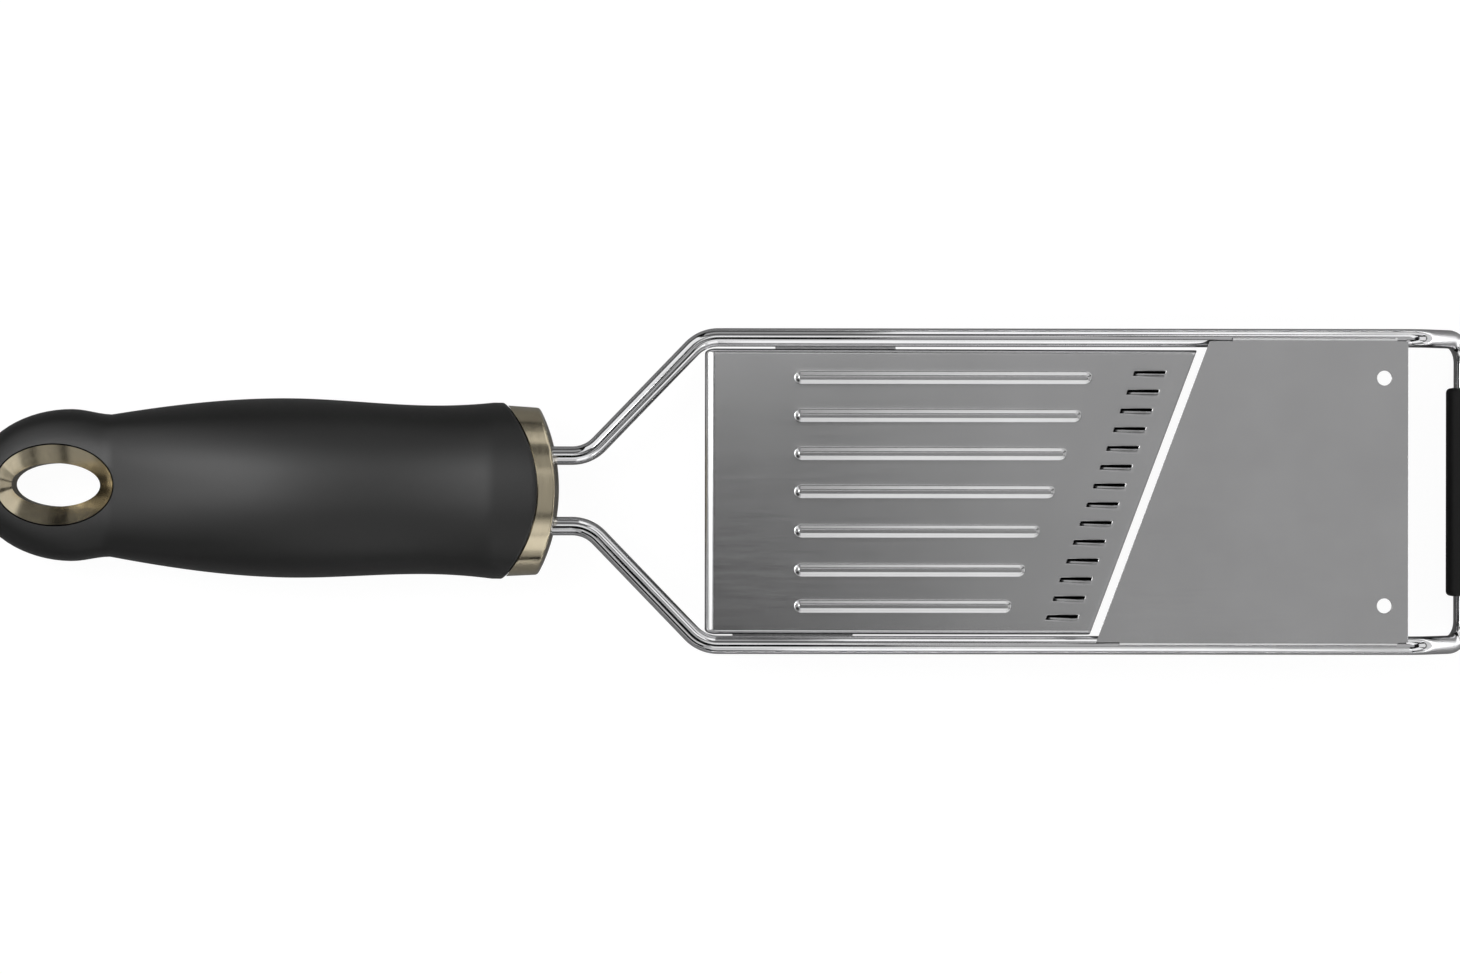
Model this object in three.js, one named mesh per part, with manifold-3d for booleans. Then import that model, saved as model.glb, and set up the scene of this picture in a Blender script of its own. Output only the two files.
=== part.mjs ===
// Julienne mandoline: a hand-held slicer with a wire frame, a ribbed infeed plate, a comb of
// upright teeth, a slanted blade and a soft moulded handle with a hanging eye.
// Millimetres, +Z up, +X from the handle to the tip. The tool lies level on its belly and foot.
import * as THREE from "three";
import { mergeVertices } from "three/addons/utils/BufferGeometryUtils.js";
import Module from "manifold-3d";

const wasm = await Module();
wasm.setup();

// Clearances
const FIT_GAP = 0.3; // between pieces that seat on, or pass through, one another
const OVERSHOOT = 1; // how far a cutting body runs past what it cuts

// Wire frame: one round rod, bent
const ROD_DIAMETER = 4;
const TANG_SPACING = 15.2; // between the centre lines of the two tangs
const RAIL_SPACING = 66.3; // between the centre lines of the two rails
const TANG_REACH = 6.7; // from the bolster's nose to the corner of the splay
const SPLAY_ANGLE = 46; // degrees away from the tool's axis
const SPLAY_RADIUS = 8;
const RAIL_LENGTH = 154.6; // from corner to corner
const TIP_ANGLE = 45; // degrees below the rails
const TIP_RADIUS = 6;
const CORNER_RADIUS = 5.2; // between a tip leg and the cross bar
const HOOK_RADIUS = 4;
const HOOK_SPREAD = 3.2; // between the hooked ends inside the handle
const HOOK_SETBACK = 14; // from the core's back end to the hooks

// Rubber foot on the cross bar
const FOOT_LENGTH = 45.3;
const FOOT_WALL = 1.2;
const FOOT_CORNER = 2;
const FOOT_END_ROUND = 1;

// Blade plate
const BLADE_SHEET = 0.6;
const BLADE_SLANT = 20.6; // degrees away from square across the tool
const BLADE_REACH = 57.7; // from the cutting edge, on the axis, to the rails' far corner
const BLADE_END_SETBACK = 2.8; // from the rails' far corner back to the plate's end
const BEVEL_WIDTH = 2.2;
const EDGE_LAND = 0.1;
const LIP_RADIUS = 0.9; // outside radius of the curled side lips
const LIP_OVERHANG = 0.15; // past the rails' centre lines
const LIP_FRONT_SETBACK = 5;
const LIP_END_SETBACK = 2.3;
const PLATE_HOLE_DIAMETER = 3.2;
const PLATE_HOLE_SPACING = 49;
const PLATE_HOLE_INSET = 5.1;

// Infeed plate
const INFEED_SHEET = 0.5;
const SLICE_DEPTH = 3; // from the infeed surface up to the cutting edge
const THROAT_GAP = 1.75; // between the plate's cut front end and the cutting edge
const SIDE_GAP = 0.35; // between the plate's sides and the rails
const INFEED_LEAD = 2.9; // how far the plate starts before the rails run straight
const EDGE_ROLL = 1.4; // outside radius of the turned-down edges
const INFEED_CORNER = 1.6;
const FLANGE_LENGTH = 26;
const RIGHT_FLANGE_START = 6; // from the plate's back end
const LEFT_FLANGE_START = 15.2;
const FLANGE_OVERHANG = 1.2; // past the rails' centre lines
const RIB_WIDTH = 3.1;
const RIB_HEIGHT = 0.8;
const RIB_PITCH = 8.2;
const RIB_MARGIN = 5.5; // least distance from a rib's axis to the plate's side
const RIB_START = 19.2; // from the plate's back end
const RIB_FRONT_SETBACK = 18.85; // from the plate's front end, along the tool
const GROOVE_INSET = 0.4; // how much narrower a rib's groove is, on each side

// Julienne comb
const COMB_SHEET = 0.5;
const COMB_BORDER = 1.6; // strip left around the row of teeth
const TOOTH_PITCH = 4.05;
const TOOTH_THICKNESS = 0.5;
const TOOTH_LENGTH = 6.2;
const TOOTH_CREST = 1.4;
const TOOTH_BELOW_EDGE = 0.2; // from the cutting edge's level down to the teeth's tops
const TOOTH_FRONT_SETBACK = 4.75; // from the plate's front end, on the axis
const TOOTH_SLANT = 19.6; // of the row, degrees away from square across the tool
const TOOTH_MARGIN_RIGHT = 3.4;
const TOOTH_MARGIN_LEFT = 4.7;

// Handle: the grip's half widths and half heights at its stations, from the butt to the front rim
const EYE_LENGTH = 18.5; // at the waist of the eyelet
const EYE_WIDTH = 9.1;
const EYE_FLARE_LENGTH = 3.4; // how far each end of the eyelet widens, along and across the tool
const EYE_FLARE_WIDTH = 4.05;
const EYELET_RECESS = 0.4; // from the grip's skin down to the eyelet's rims
const EYELET_WALL = 1.1;
const BUTT_WALL = 5.7; // behind the eyelet
const LOOP_WALL = 7.8; // beside the eyelet
const LOOP_PAST_EYE = 3; // from the eye's centre to the loop's widest station
const LOOP_HALF_HEIGHT = 8.5;
const LOOP_TO_NECK = 8.4;
const NECK_HALF_WIDTH = 15.35;
const NECK_HALF_HEIGHT = 8.8;
const NECK_TO_BELLY = 38.8;
const SWELL_SOFTNESS = 0.15; // share of a soft start in the swell from the neck to the belly
const BELLY_HALF_WIDTH = 19.35;
const BELLY_HALF_HEIGHT = 14.5;
const BELLY_TO_WAIST = 29.8;
const WAIST_HALF_WIDTH = 18.2;
const WAIST_HALF_HEIGHT = 13.3;
const WAIST_TO_FLARE = 13.7;
const FLARE_HALF_WIDTH = 19;
const FLARE_HALF_HEIGHT = 14;
const FLARE_TO_RIM = 2.2;
const GRIP_FRONT_BOW = 7.8; // how far the front rim bows forward
const GRIP_WALL = 2.5;
const EYE_TO_CORE = 4.8; // solid grip left between the eyelet and the core
const LOOP_SQUARENESS = 3; // exponents of the superellipse sections
const BODY_SQUARENESS = 2.3;
const BUTT_FULLNESS = 0.5; // below 1 the butt is blunter than an ellipse, seen from the side
const HANDLE_TURN = 0.68; // degrees that the handle sits turned on the tangs, its butt to the left

// Bolster: the cap that closes the grip's front
const BOLSTER_LENGTH = 3.8; // past the grip's nose, on the axis
const BOLSTER_BOW = 4.5;
const BOLSTER_STEP = 0.6; // below the grip's surface
const BOLSTER_TAPER = 0.36;
const SPIGOT_LENGTH = 5;

// Smoothness of the facets
const ROD_SIDES = 12;
const BEND_STEP = 16; // degrees
const SECTION_POINTS = 28;
const EYE_POINTS = 32;
const BUTT_RINGS = 6;
const ARC_STEPS = 10;
const ROUND_STEPS = 4; // around a small edge

// Levels and places worked out from the sizes above, from the butt and the rods' plane
const rodRadius = ROD_DIAMETER / 2;
const channelRadius = rodRadius + FIT_GAP;
const tangY = TANG_SPACING / 2;
const railY = RAIL_SPACING / 2;
const slope = Math.tan(THREE.MathUtils.degToRad(BLADE_SLANT));
const rowSlope = Math.tan(THREE.MathUtils.degToRad(TOOTH_SLANT));

const rimLength = EYE_LENGTH / 2 + EYE_FLARE_LENGTH;
const rimWidth = EYE_WIDTH / 2 + EYE_FLARE_WIDTH;
const eyeX = BUTT_WALL + rimLength;
const loopX = eyeX + LOOP_PAST_EYE;
const loopHalfWidth = rimWidth + LOOP_WALL;
const neckX = loopX + LOOP_TO_NECK;
const bellyX = neckX + NECK_TO_BELLY;
const waistX = bellyX + BELLY_TO_WAIST;
const flareX = waistX + WAIST_TO_FLARE;
const rimX = flareX + FLARE_TO_RIM;
const gripNoseX = rimX + GRIP_FRONT_BOW;
const bolsterNoseX = gripNoseX + BOLSTER_LENGTH;
const spigotX = rimX - SPIGOT_LENGTH;
const coreX = eyeX + rimLength + EYE_TO_CORE;

const splayX = bolsterNoseX + TANG_REACH;
const railX = splayX + (railY - tangY) / Math.tan(THREE.MathUtils.degToRad(SPLAY_ANGLE));
const railEndX = railX + RAIL_LENGTH;
const footThickness = 2 * (channelRadius + FOOT_WALL);
const footDrop = BELLY_HALF_HEIGHT - footThickness / 2;
const crossBarX = railEndX + footDrop / Math.tan(THREE.MathUtils.degToRad(TIP_ANGLE));
const overallLength = crossBarX + footThickness / 2;

const bladeTop = rodRadius + FIT_GAP + LIP_RADIUS;
const bladeEdgeX = railEndX - BLADE_REACH;
const bladeEndX = railEndX - BLADE_END_SETBACK;
const lipY = railY + LIP_OVERHANG;
const bladeY = lipY - LIP_RADIUS;

const infeedTop = bladeTop - SLICE_DEPTH;
const infeedY = railY - rodRadius - SIDE_GAP;
const infeedX = railX + SPLAY_RADIUS * Math.tan(THREE.MathUtils.degToRad(SPLAY_ANGLE / 2)) - INFEED_LEAD;
const infeedEndX = bladeEdgeX - THROAT_GAP;
const flangeTop = -channelRadius;
const skirtBottom = flangeTop - INFEED_SHEET;
const combTop = infeedTop - INFEED_SHEET - FIT_GAP;

const frontEndAt = (y) => infeedEndX + slope * y;
const edgeAt = (y) => bladeEdgeX + slope * y;
const toothRow = [];
const rowX = infeedEndX - TOOTH_FRONT_SETBACK - TOOTH_LENGTH / 2;
for (let y = -infeedY + TOOTH_MARGIN_RIGHT; y <= infeedY - TOOTH_MARGIN_LEFT; y += TOOTH_PITCH) {
  toothRow.push({ x: rowX + rowSlope * y, y });
}

// Solids
function solid(geometry) {
  const bare = geometry.index ? geometry.toNonIndexed() : geometry.clone();
  bare.deleteAttribute("normal");
  bare.deleteAttribute("uv");
  const merged = mergeVertices(bare, 1e-5);
  return new wasm.Manifold(
    new wasm.Mesh({
      numProp: 3,
      vertProperties: new Float32Array(merged.attributes.position.array),
      triVerts: new Uint32Array(merged.index.array),
    }),
  );
}

function geometryOf(body) {
  const { vertProperties, triVerts } = body.getMesh();
  const geometry = new THREE.BufferGeometry();
  geometry.setAttribute("position", new THREE.BufferAttribute(vertProperties, 3));
  geometry.setIndex(new THREE.BufferAttribute(triVerts, 1));
  geometry.computeVertexNormals();
  return geometry;
}

const union = (bodies) => bodies.reduce((all, body) => all.add(body));

function box(from, to) {
  const size = new THREE.Vector3().subVectors(to, from);
  const middle = new THREE.Vector3().addVectors(from, to).multiplyScalar(0.5);
  return solid(new THREE.BoxGeometry(size.x, size.y, size.z).translate(middle.x, middle.y, middle.z));
}

const vec = (x, y, z = 0) => new THREE.Vector3(x, y, z);
const ALONG_X = new THREE.Matrix4().makeBasis(vec(0, 1), vec(0, 0, 1), vec(1, 0));
const ALONG_Y = new THREE.Matrix4().makeBasis(vec(1, 0), vec(0, 0, 1), vec(0, -1));

// A skin through rings of points, each counter-clockwise seen from the next ring. A ring of one
// point is a pole. Looped rings close on themselves, and others get flat ends.
function loft(rings, looped = false) {
  const corners = [];
  const triangle = (a, b, c) => corners.push(a, b, c);
  const spans = looped ? rings.length : rings.length - 1;
  for (let i = 0; i < spans; i++) {
    const near = rings[i];
    const far = rings[(i + 1) % rings.length];
    const count = Math.max(near.length, far.length);
    for (let j = 0; j < count; j++) {
      const k = (j + 1) % count;
      if (near.length > 1) triangle(near[j], near[k], far[k % far.length]);
      if (far.length > 1) triangle(near[j % near.length], far[k], far[j]);
    }
  }
  if (!looped) {
    const middle = (ring) => ring.reduce((sum, p) => sum.add(p), vec(0, 0)).divideScalar(ring.length);
    const last = rings[rings.length - 1];
    const cap = (ring, flip) => {
      const centre = middle(ring);
      ring.forEach((p, j) => {
        const next = ring[(j + 1) % ring.length];
        triangle(centre, flip ? next : p, flip ? p : next);
      });
    };
    if (rings[0].length > 1) cap(rings[0], true);
    if (last.length > 1) cap(last, false);
  }
  return solid(new THREE.BufferGeometry().setFromPoints(corners));
}

// A rod's centre line: straight runs between corners, with each corner turned on its own radius.
class BentPath extends THREE.Curve {
  constructor(corners) {
    super();
    this.stations = [];
    const direction = (i) => vec(0, 0).subVectors(corners[i + 1].at, corners[i].at).normalize();
    this.stations.push({ at: corners[0].at, along: direction(0) });
    for (let i = 1; i < corners.length - 1; i++) {
      this.turn(corners[i], direction(i - 1), direction(i));
    }
    this.stations.push({ at: corners.at(-1).at, along: direction(corners.length - 2) });
  }

  turn({ at, radius }, inward, outward) {
    const angle = inward.angleTo(outward);
    const axis = vec(0, 0).crossVectors(inward, outward).normalize();
    const start = at.clone().addScaledVector(inward, -radius * Math.tan(angle / 2));
    const toCentre = vec(0, 0).crossVectors(axis, inward).multiplyScalar(radius);
    const centre = start.clone().add(toCentre);
    const steps = Math.ceil(THREE.MathUtils.radToDeg(angle) / BEND_STEP);
    for (let k = 0; k <= steps; k++) {
      const turned = (angle * k) / steps;
      this.stations.push({
        at: toCentre.clone().negate().applyAxisAngle(axis, turned).add(centre),
        along: inward.clone().applyAxisAngle(axis, turned),
      });
    }
  }

  get steps() {
    return this.stations.length - 1;
  }

  getUtoTmapping(u) {
    return u;
  }

  getPoint(t, target = vec(0, 0)) {
    return target.copy(this.stations[Math.round(t * this.steps)].at);
  }

  getTangent(t, target = vec(0, 0)) {
    return target.copy(this.stations[Math.round(t * this.steps)].along);
  }
}

// Wire frame: hook, tang, splay, rail and tip leg on the left, the cross bar, and the same back
function frameRod(radius, endGap) {
  const left = [
    { at: vec(coreX + HOOK_SETBACK, HOOK_SPREAD / 2 - endGap) },
    { at: vec(coreX + HOOK_SETBACK, tangY), radius: HOOK_RADIUS },
    { at: vec(splayX, tangY), radius: SPLAY_RADIUS },
    { at: vec(railX, railY), radius: SPLAY_RADIUS },
    { at: vec(railEndX, railY), radius: TIP_RADIUS },
    { at: vec(crossBarX, railY, -footDrop), radius: CORNER_RADIUS },
  ];
  const right = left.map((corner) => ({ ...corner, at: corner.at.clone().setY(-corner.at.y) }));
  const path = new BentPath([...left, ...right.reverse()]);
  const circle = new THREE.Shape().absarc(0, 0, radius, 0, 2 * Math.PI);
  return new THREE.ExtrudeGeometry(circle, {
    extrudePath: path,
    steps: path.steps,
    curveSegments: ROD_SIDES / 2,
  });
}

// Handle: superellipse sections whose half width and half height ease from station to station
const smooth = (t) => t * t * (3 - 2 * t);
const leave = (t) => t * (2 - t);
const arrive = (t) => t * t;
const swell = (t) => THREE.MathUtils.lerp(leave(t), smooth(t), SWELL_SOFTNESS);
const gripStations = [
  { x: loopX, w: loopHalfWidth, h: LOOP_HALF_HEIGHT, n: LOOP_SQUARENESS },
  { x: neckX, w: NECK_HALF_WIDTH, h: NECK_HALF_HEIGHT, n: LOOP_SQUARENESS, ease: smooth, rings: 2 },
  { x: bellyX, w: BELLY_HALF_WIDTH, h: BELLY_HALF_HEIGHT, n: BODY_SQUARENESS, ease: swell, rings: 5 },
  { x: waistX, w: WAIST_HALF_WIDTH, h: WAIST_HALF_HEIGHT, n: BODY_SQUARENESS, ease: smooth, rings: 4 },
  { x: flareX, w: FLARE_HALF_WIDTH, h: FLARE_HALF_HEIGHT, n: BODY_SQUARENESS, ease: arrive, rings: 3 },
];

function gripSizeAt(x) {
  const first = gripStations[0];
  if (x < first.x) {
    const sine = Math.sqrt(1 - (1 - x / first.x) ** 2);
    return { w: first.w * sine, h: first.h * sine ** BUTT_FULLNESS, n: first.n };
  }
  const i = gripStations.findIndex((station) => x <= station.x);
  if (i < 1) return i === 0 ? first : gripStations.at(-1);
  const from = gripStations[i - 1];
  const to = gripStations[i];
  const t = to.ease((x - from.x) / (to.x - from.x));
  const between = (key) => from[key] + (to[key] - from[key]) * t;
  return { w: between("w"), h: between("h"), n: between("n") };
}

function superellipse(x, { w, h, n }) {
  const power = (value) => Math.sign(value) * Math.abs(value) ** (2 / n);
  return Array.from({ length: SECTION_POINTS }, (_, j) => {
    const angle = (2 * Math.PI * j) / SECTION_POINTS;
    return vec(x, w * power(Math.cos(angle)), h * power(Math.sin(angle)));
  });
}

// The grip's form between two places, drawn in on every side by an inset
function gripForm(inset, from, to) {
  const places = [from, to];
  gripStations.forEach((station, i) => {
    for (let k = 1; i > 0 && k <= station.rings; k++) {
      places.push(THREE.MathUtils.lerp(gripStations[i - 1].x, station.x, k / station.rings));
    }
  });
  const inside = places.filter((x) => x >= from && x <= to).sort((a, b) => a - b);
  return inside.map((x) => {
    const { w, h, n } = gripSizeAt(x);
    return superellipse(x, { w: w - inset, h: h - inset, n });
  });
}

// Everything ahead of a front that bows forward across the handle
function aheadOf(noseX, bow, halfWidth) {
  const radius = (halfWidth ** 2 + bow ** 2) / (2 * bow);
  const half = Math.asin(halfWidth / radius);
  const far = noseX + radius;
  const wide = 2 * halfWidth;
  const plan = new THREE.Shape();
  plan.absarc(noseX - radius, 0, radius, -half, half);
  plan.lineTo(noseX - bow, wide);
  plan.lineTo(far, wide);
  plan.lineTo(far, -wide);
  plan.lineTo(noseX - bow, -wide);
  const height = 4 * BELLY_HALF_HEIGHT;
  const prism = new THREE.ExtrudeGeometry(plan, {
    depth: height,
    bevelEnabled: false,
    curveSegments: ARC_STEPS,
  });
  return solid(prism.translate(0, 0, -height / 2));
}

const aheadOfGrip = (gap) => aheadOf(gripNoseX + gap, GRIP_FRONT_BOW, FLARE_HALF_WIDTH);

// Hanging eye: rings of an outward-flaring spool, grown on every side
function eyeRing(heightAt, length, width, grown) {
  return Array.from({ length: EYE_POINTS }, (_, j) => {
    const turn = (2 * Math.PI * j) / EYE_POINTS;
    return vec((length + grown) * Math.cos(turn), (width + grown) * Math.sin(turn), heightAt(turn));
  });
}

// How high the rim lies at a turn round the eye: it follows the grip's skin
function rimHeight(turn) {
  const { w, h, n } = gripSizeAt(eyeX + rimLength * Math.cos(turn));
  const across = (rimWidth * Math.abs(Math.sin(turn))) / w;
  return h * (1 - across ** n) ** (1 / n) - EYELET_RECESS;
}

function spoolRings(wall, grown) {
  return Array.from({ length: ARC_STEPS + 1 }, (_, k) => {
    const angle = Math.PI * (k / ARC_STEPS - 0.5);
    const flare = 1 - Math.cos(angle);
    const length = EYE_LENGTH / 2 + wall + (EYE_FLARE_LENGTH - wall) * flare;
    const width = EYE_WIDTH / 2 + wall + (EYE_FLARE_WIDTH - wall) * flare;
    return eyeRing((turn) => (rimHeight(turn) - wall) * Math.sin(angle), length, width, grown);
  });
}

function hangEyelet() {
  return loft([...spoolRings(EYELET_WALL, 0), ...spoolRings(0, 0).reverse()], true);
}

function eyePocket() {
  const past = 2 * BELLY_HALF_HEIGHT;
  const end = (z) => eyeRing(() => z, rimLength, rimWidth, FIT_GAP);
  return loft([end(-past), ...spoolRings(EYELET_WALL, FIT_GAP), end(past)]).translate([eyeX, 0, 0]);
}

function grip() {
  const butt = [[vec(0, 0)]];
  for (let k = 1; k < BUTT_RINGS; k++) {
    const x = loopX * (1 - Math.cos((Math.PI / 2) * (k / BUTT_RINGS)));
    butt.push(superellipse(x, gripSizeAt(x)));
  }
  const skin = loft([...butt, ...gripForm(0, loopX, gripNoseX + OVERSHOOT)]);
  const hollow = loft(gripForm(GRIP_WALL, coreX - FIT_GAP, gripNoseX + 2 * OVERSHOOT));
  return skin.subtract(hollow).subtract(eyePocket()).subtract(aheadOfGrip(0));
}

function handleCore(side, channel) {
  const whole = loft(gripForm(GRIP_WALL + FIT_GAP, coreX, spigotX - FIT_GAP));
  const reach = 2 * BELLY_HALF_WIDTH;
  const other = box(
    vec(0, -reach, side > 0 ? -reach : -FIT_GAP / 2),
    vec(gripNoseX, reach, side > 0 ? FIT_GAP / 2 : reach),
  );
  return whole.subtract(other).subtract(channel);
}

function frontBolster(channel) {
  const capAt = (x, taper) => {
    const less = BOLSTER_STEP + taper;
    return superellipse(x, { w: FLARE_HALF_WIDTH - less, h: FLARE_HALF_HEIGHT - less, n: BODY_SQUARENESS });
  };
  const cap = loft([capAt(rimX, 0), capAt(bolsterNoseX, BOLSTER_TAPER)]);
  const spigot = loft(gripForm(GRIP_WALL + FIT_GAP, spigotX, gripNoseX + FIT_GAP));
  const front = aheadOf(bolsterNoseX, BOLSTER_BOW, FLARE_HALF_WIDTH);
  return cap.intersect(aheadOfGrip(FIT_GAP)).add(spigot).subtract(front).subtract(channel);
}

// Rubber foot: a sleeve with a flat tread, about the cross bar's axis
function rubberFoot() {
  const half = footThickness / 2;
  const flat = half - FOOT_CORNER;
  const section = new THREE.Shape();
  section.absarc(flat, flat, FOOT_CORNER, 0, Math.PI / 2);
  section.absarc(-flat, flat, FOOT_CORNER, Math.PI / 2, Math.PI);
  section.absarc(-flat, -flat, FOOT_CORNER, Math.PI, 1.5 * Math.PI);
  section.absarc(flat, -flat, FOOT_CORNER, 1.5 * Math.PI, 2 * Math.PI);
  const straight = FOOT_LENGTH - 2 * FOOT_END_ROUND;
  const sleeve = new THREE.ExtrudeGeometry(section, {
    depth: straight,
    bevelThickness: FOOT_END_ROUND,
    bevelSize: FOOT_END_ROUND,
    bevelOffset: -FOOT_END_ROUND,
    bevelSegments: ROUND_STEPS,
    curveSegments: ROUND_STEPS / 2,
  });
  sleeve.translate(0, 0, -straight / 2).applyMatrix4(ALONG_Y);
  const bore = new THREE.CylinderGeometry(channelRadius, channelRadius, 2 * FOOT_LENGTH, 2 * ROD_SIDES);
  return solid(sleeve).subtract(solid(bore));
}

// Blade plate: a flat sheet with curled side lips, and the cutting edge ground from below
function bladePlate() {
  const plan = new THREE.Shape();
  plan.moveTo(edgeAt(-bladeY), -bladeY);
  plan.lineTo(bladeEndX, -bladeY);
  plan.lineTo(bladeEndX, bladeY);
  plan.lineTo(edgeAt(bladeY), bladeY);
  for (const side of [-1, 1]) {
    const hole = new THREE.Path();
    const y = (side * PLATE_HOLE_SPACING) / 2;
    hole.absarc(bladeEndX - PLATE_HOLE_INSET, y, PLATE_HOLE_DIAMETER / 2, 0, 2 * Math.PI, true);
    plan.holes.push(hole);
  }
  const sheet = new THREE.ExtrudeGeometry(plan, {
    depth: BLADE_SHEET,
    bevelEnabled: false,
    curveSegments: ARC_STEPS,
  });
  sheet.translate(0, 0, bladeTop - BLADE_SHEET);
  const lips = [-1, 1].map((side) => sideLip(side));
  return union([solid(sheet), ...lips]).subtract(groundBevel());
}

function sideLip(side) {
  const inside = LIP_RADIUS - BLADE_SHEET;
  const tuck = LIP_RADIUS / 2; // how far the lip runs back into the flat sheet
  const section = new THREE.Shape();
  section.moveTo(-tuck, inside);
  section.absarc(0, 0, inside, Math.PI / 2, 0, true);
  section.absarc(0, 0, LIP_RADIUS, 0, Math.PI / 2);
  section.lineTo(-tuck, LIP_RADIUS);
  const from = edgeAt(side * bladeY) + LIP_FRONT_SETBACK;
  const length = bladeEndX - LIP_END_SETBACK - from;
  const lip = new THREE.ExtrudeGeometry(section, {
    depth: length,
    bevelEnabled: false,
    curveSegments: ROUND_STEPS / 2,
  });
  lip.applyMatrix4(ALONG_X);
  if (side < 0) lip.rotateZ(Math.PI).translate(length, 0, 0);
  return solid(lip.translate(from, side * bladeY, bladeTop - LIP_RADIUS));
}

function groundBevel() {
  const below = BLADE_SHEET - EDGE_LAND;
  const rise = below / BEVEL_WIDTH;
  const wedge = new THREE.Shape();
  wedge.moveTo(-OVERSHOOT, below + OVERSHOOT * rise);
  wedge.lineTo(-OVERSHOOT, -OVERSHOOT * rise);
  wedge.lineTo(BEVEL_WIDTH + OVERSHOOT, -OVERSHOOT * rise);
  const length = 2 * RAIL_SPACING;
  const cutter = new THREE.ExtrudeGeometry(wedge, { depth: length, bevelEnabled: false });
  cutter.translate(0, 0, -length / 2).applyMatrix4(ALONG_Y);
  cutter.rotateZ(-THREE.MathUtils.degToRad(BLADE_SLANT));
  return solid(cutter.translate(bladeEdgeX, 0, bladeTop - BLADE_SHEET));
}

// Infeed plate: a pressed tray, face up, with turned-down edges, raised ribs, slots and rail flanges
function infeedPlan() {
  const r = INFEED_CORNER;
  const past = 2 * EDGE_ROLL;
  const plan = new THREE.Shape();
  plan.moveTo(frontEndAt(infeedY) + past, infeedY);
  plan.lineTo(infeedX + r, infeedY);
  plan.absarc(infeedX + r, infeedY - r, r, Math.PI / 2, Math.PI);
  plan.absarc(infeedX + r, r - infeedY, r, Math.PI, 1.5 * Math.PI);
  plan.lineTo(frontEndAt(-infeedY) + past, -infeedY);
  return plan;
}

// All that lies ahead of the plate's slanted front end, where the sheet is cut off square
function aheadOfFront() {
  const wide = RAIL_SPACING;
  const beyond = new THREE.Shape();
  beyond.moveTo(frontEndAt(-wide), -wide);
  beyond.lineTo(overallLength, -wide);
  beyond.lineTo(overallLength, wide);
  beyond.lineTo(frontEndAt(wide), wide);
  const cutter = new THREE.ExtrudeGeometry(beyond, { depth: 2 * wide, bevelEnabled: false });
  return solid(cutter.translate(0, 0, -wide));
}

function rolledBlock(top, wall) {
  const roll = EDGE_ROLL - wall;
  const depth = 2 * SLICE_DEPTH + ROD_DIAMETER;
  const block = new THREE.ExtrudeGeometry(infeedPlan(), {
    depth,
    bevelThickness: roll,
    bevelSize: roll,
    bevelOffset: -EDGE_ROLL,
    bevelSegments: ROUND_STEPS,
    curveSegments: ROUND_STEPS / 2,
  });
  return solid(block.translate(0, 0, top - depth - roll));
}

function ribPlaces() {
  const span = 2 * (infeedY - RIB_MARGIN);
  const count = Math.floor(span / RIB_PITCH) + 1;
  return Array.from({ length: count }, (_, i) => (i - (count - 1) / 2) * RIB_PITCH);
}

// A rib pressed up from a level: half of a flattened capsule, drawn in by the sheet for the groove
function rib(y, level, drawnIn) {
  const radius = RIB_WIDTH / 2 - drawnIn;
  const from = infeedX + RIB_START + drawnIn;
  const to = frontEndAt(y) - RIB_FRONT_SETBACK - drawnIn;
  const capsule = new THREE.CapsuleGeometry(radius, to - from - 2 * radius, ROUND_STEPS, 3 * ROUND_STEPS);
  capsule.rotateZ(Math.PI / 2).scale(1, 1, RIB_HEIGHT / radius);
  return solid(capsule.translate((from + to) / 2, y, level));
}

function flange(side, start) {
  const inner = infeedY - INFEED_SHEET;
  const outer = railY + FLANGE_OVERHANG;
  const [low, high] = side > 0 ? [inner, outer] : [-outer, -inner];
  const from = infeedX + start;
  return box(vec(from, low, skirtBottom), vec(from + FLANGE_LENGTH, high, flangeTop));
}

function infeedPlate() {
  const under = infeedTop - INFEED_SHEET;
  const ribs = ribPlaces();
  const raised = union([rolledBlock(infeedTop, 0), ...ribs.map((y) => rib(y, infeedTop, 0))]);
  const hollow = union([rolledBlock(under, INFEED_SHEET), ...ribs.map((y) => rib(y, under, GROOVE_INSET))]);
  const wide = RAIL_SPACING;
  const below = box(vec(0, -wide, -wide), vec(overallLength, wide, skirtBottom));
  const slots = toothRow.map(({ x, y }) => {
    const half = vec(TOOTH_LENGTH / 2 + FIT_GAP, TOOTH_THICKNESS / 2 + FIT_GAP, 2 * INFEED_SHEET);
    const middle = vec(x, y, infeedTop);
    return box(middle.clone().sub(half), middle.clone().add(half));
  });
  const tray = raised.subtract(hollow).subtract(union([below, aheadOfFront(), ...slots]));
  return union([tray, flange(-1, RIGHT_FLANGE_START), flange(1, LEFT_FLANGE_START)]);
}

// Julienne comb: a slanted strip with a row of upright fins that rise through the slots
function julienneComb() {
  const first = toothRow[0];
  const last = toothRow.at(-1);
  const reach = TOOTH_LENGTH / 2 + COMB_BORDER;
  const strip = new THREE.Shape();
  const corner = ({ x, y }, ahead, outward) => [x + ahead * reach + rowSlope * outward, y + outward];
  strip.moveTo(...corner(first, -1, -COMB_BORDER));
  strip.lineTo(...corner(first, 1, -COMB_BORDER));
  strip.lineTo(...corner(last, 1, COMB_BORDER));
  strip.lineTo(...corner(last, -1, COMB_BORDER));
  const sheet = new THREE.ExtrudeGeometry(strip, { depth: COMB_SHEET, bevelEnabled: false });
  sheet.translate(0, 0, combTop - COMB_SHEET);
  return union([solid(sheet), ...toothRow.map(({ x, y }) => tooth(x, y))]);
}

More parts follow.
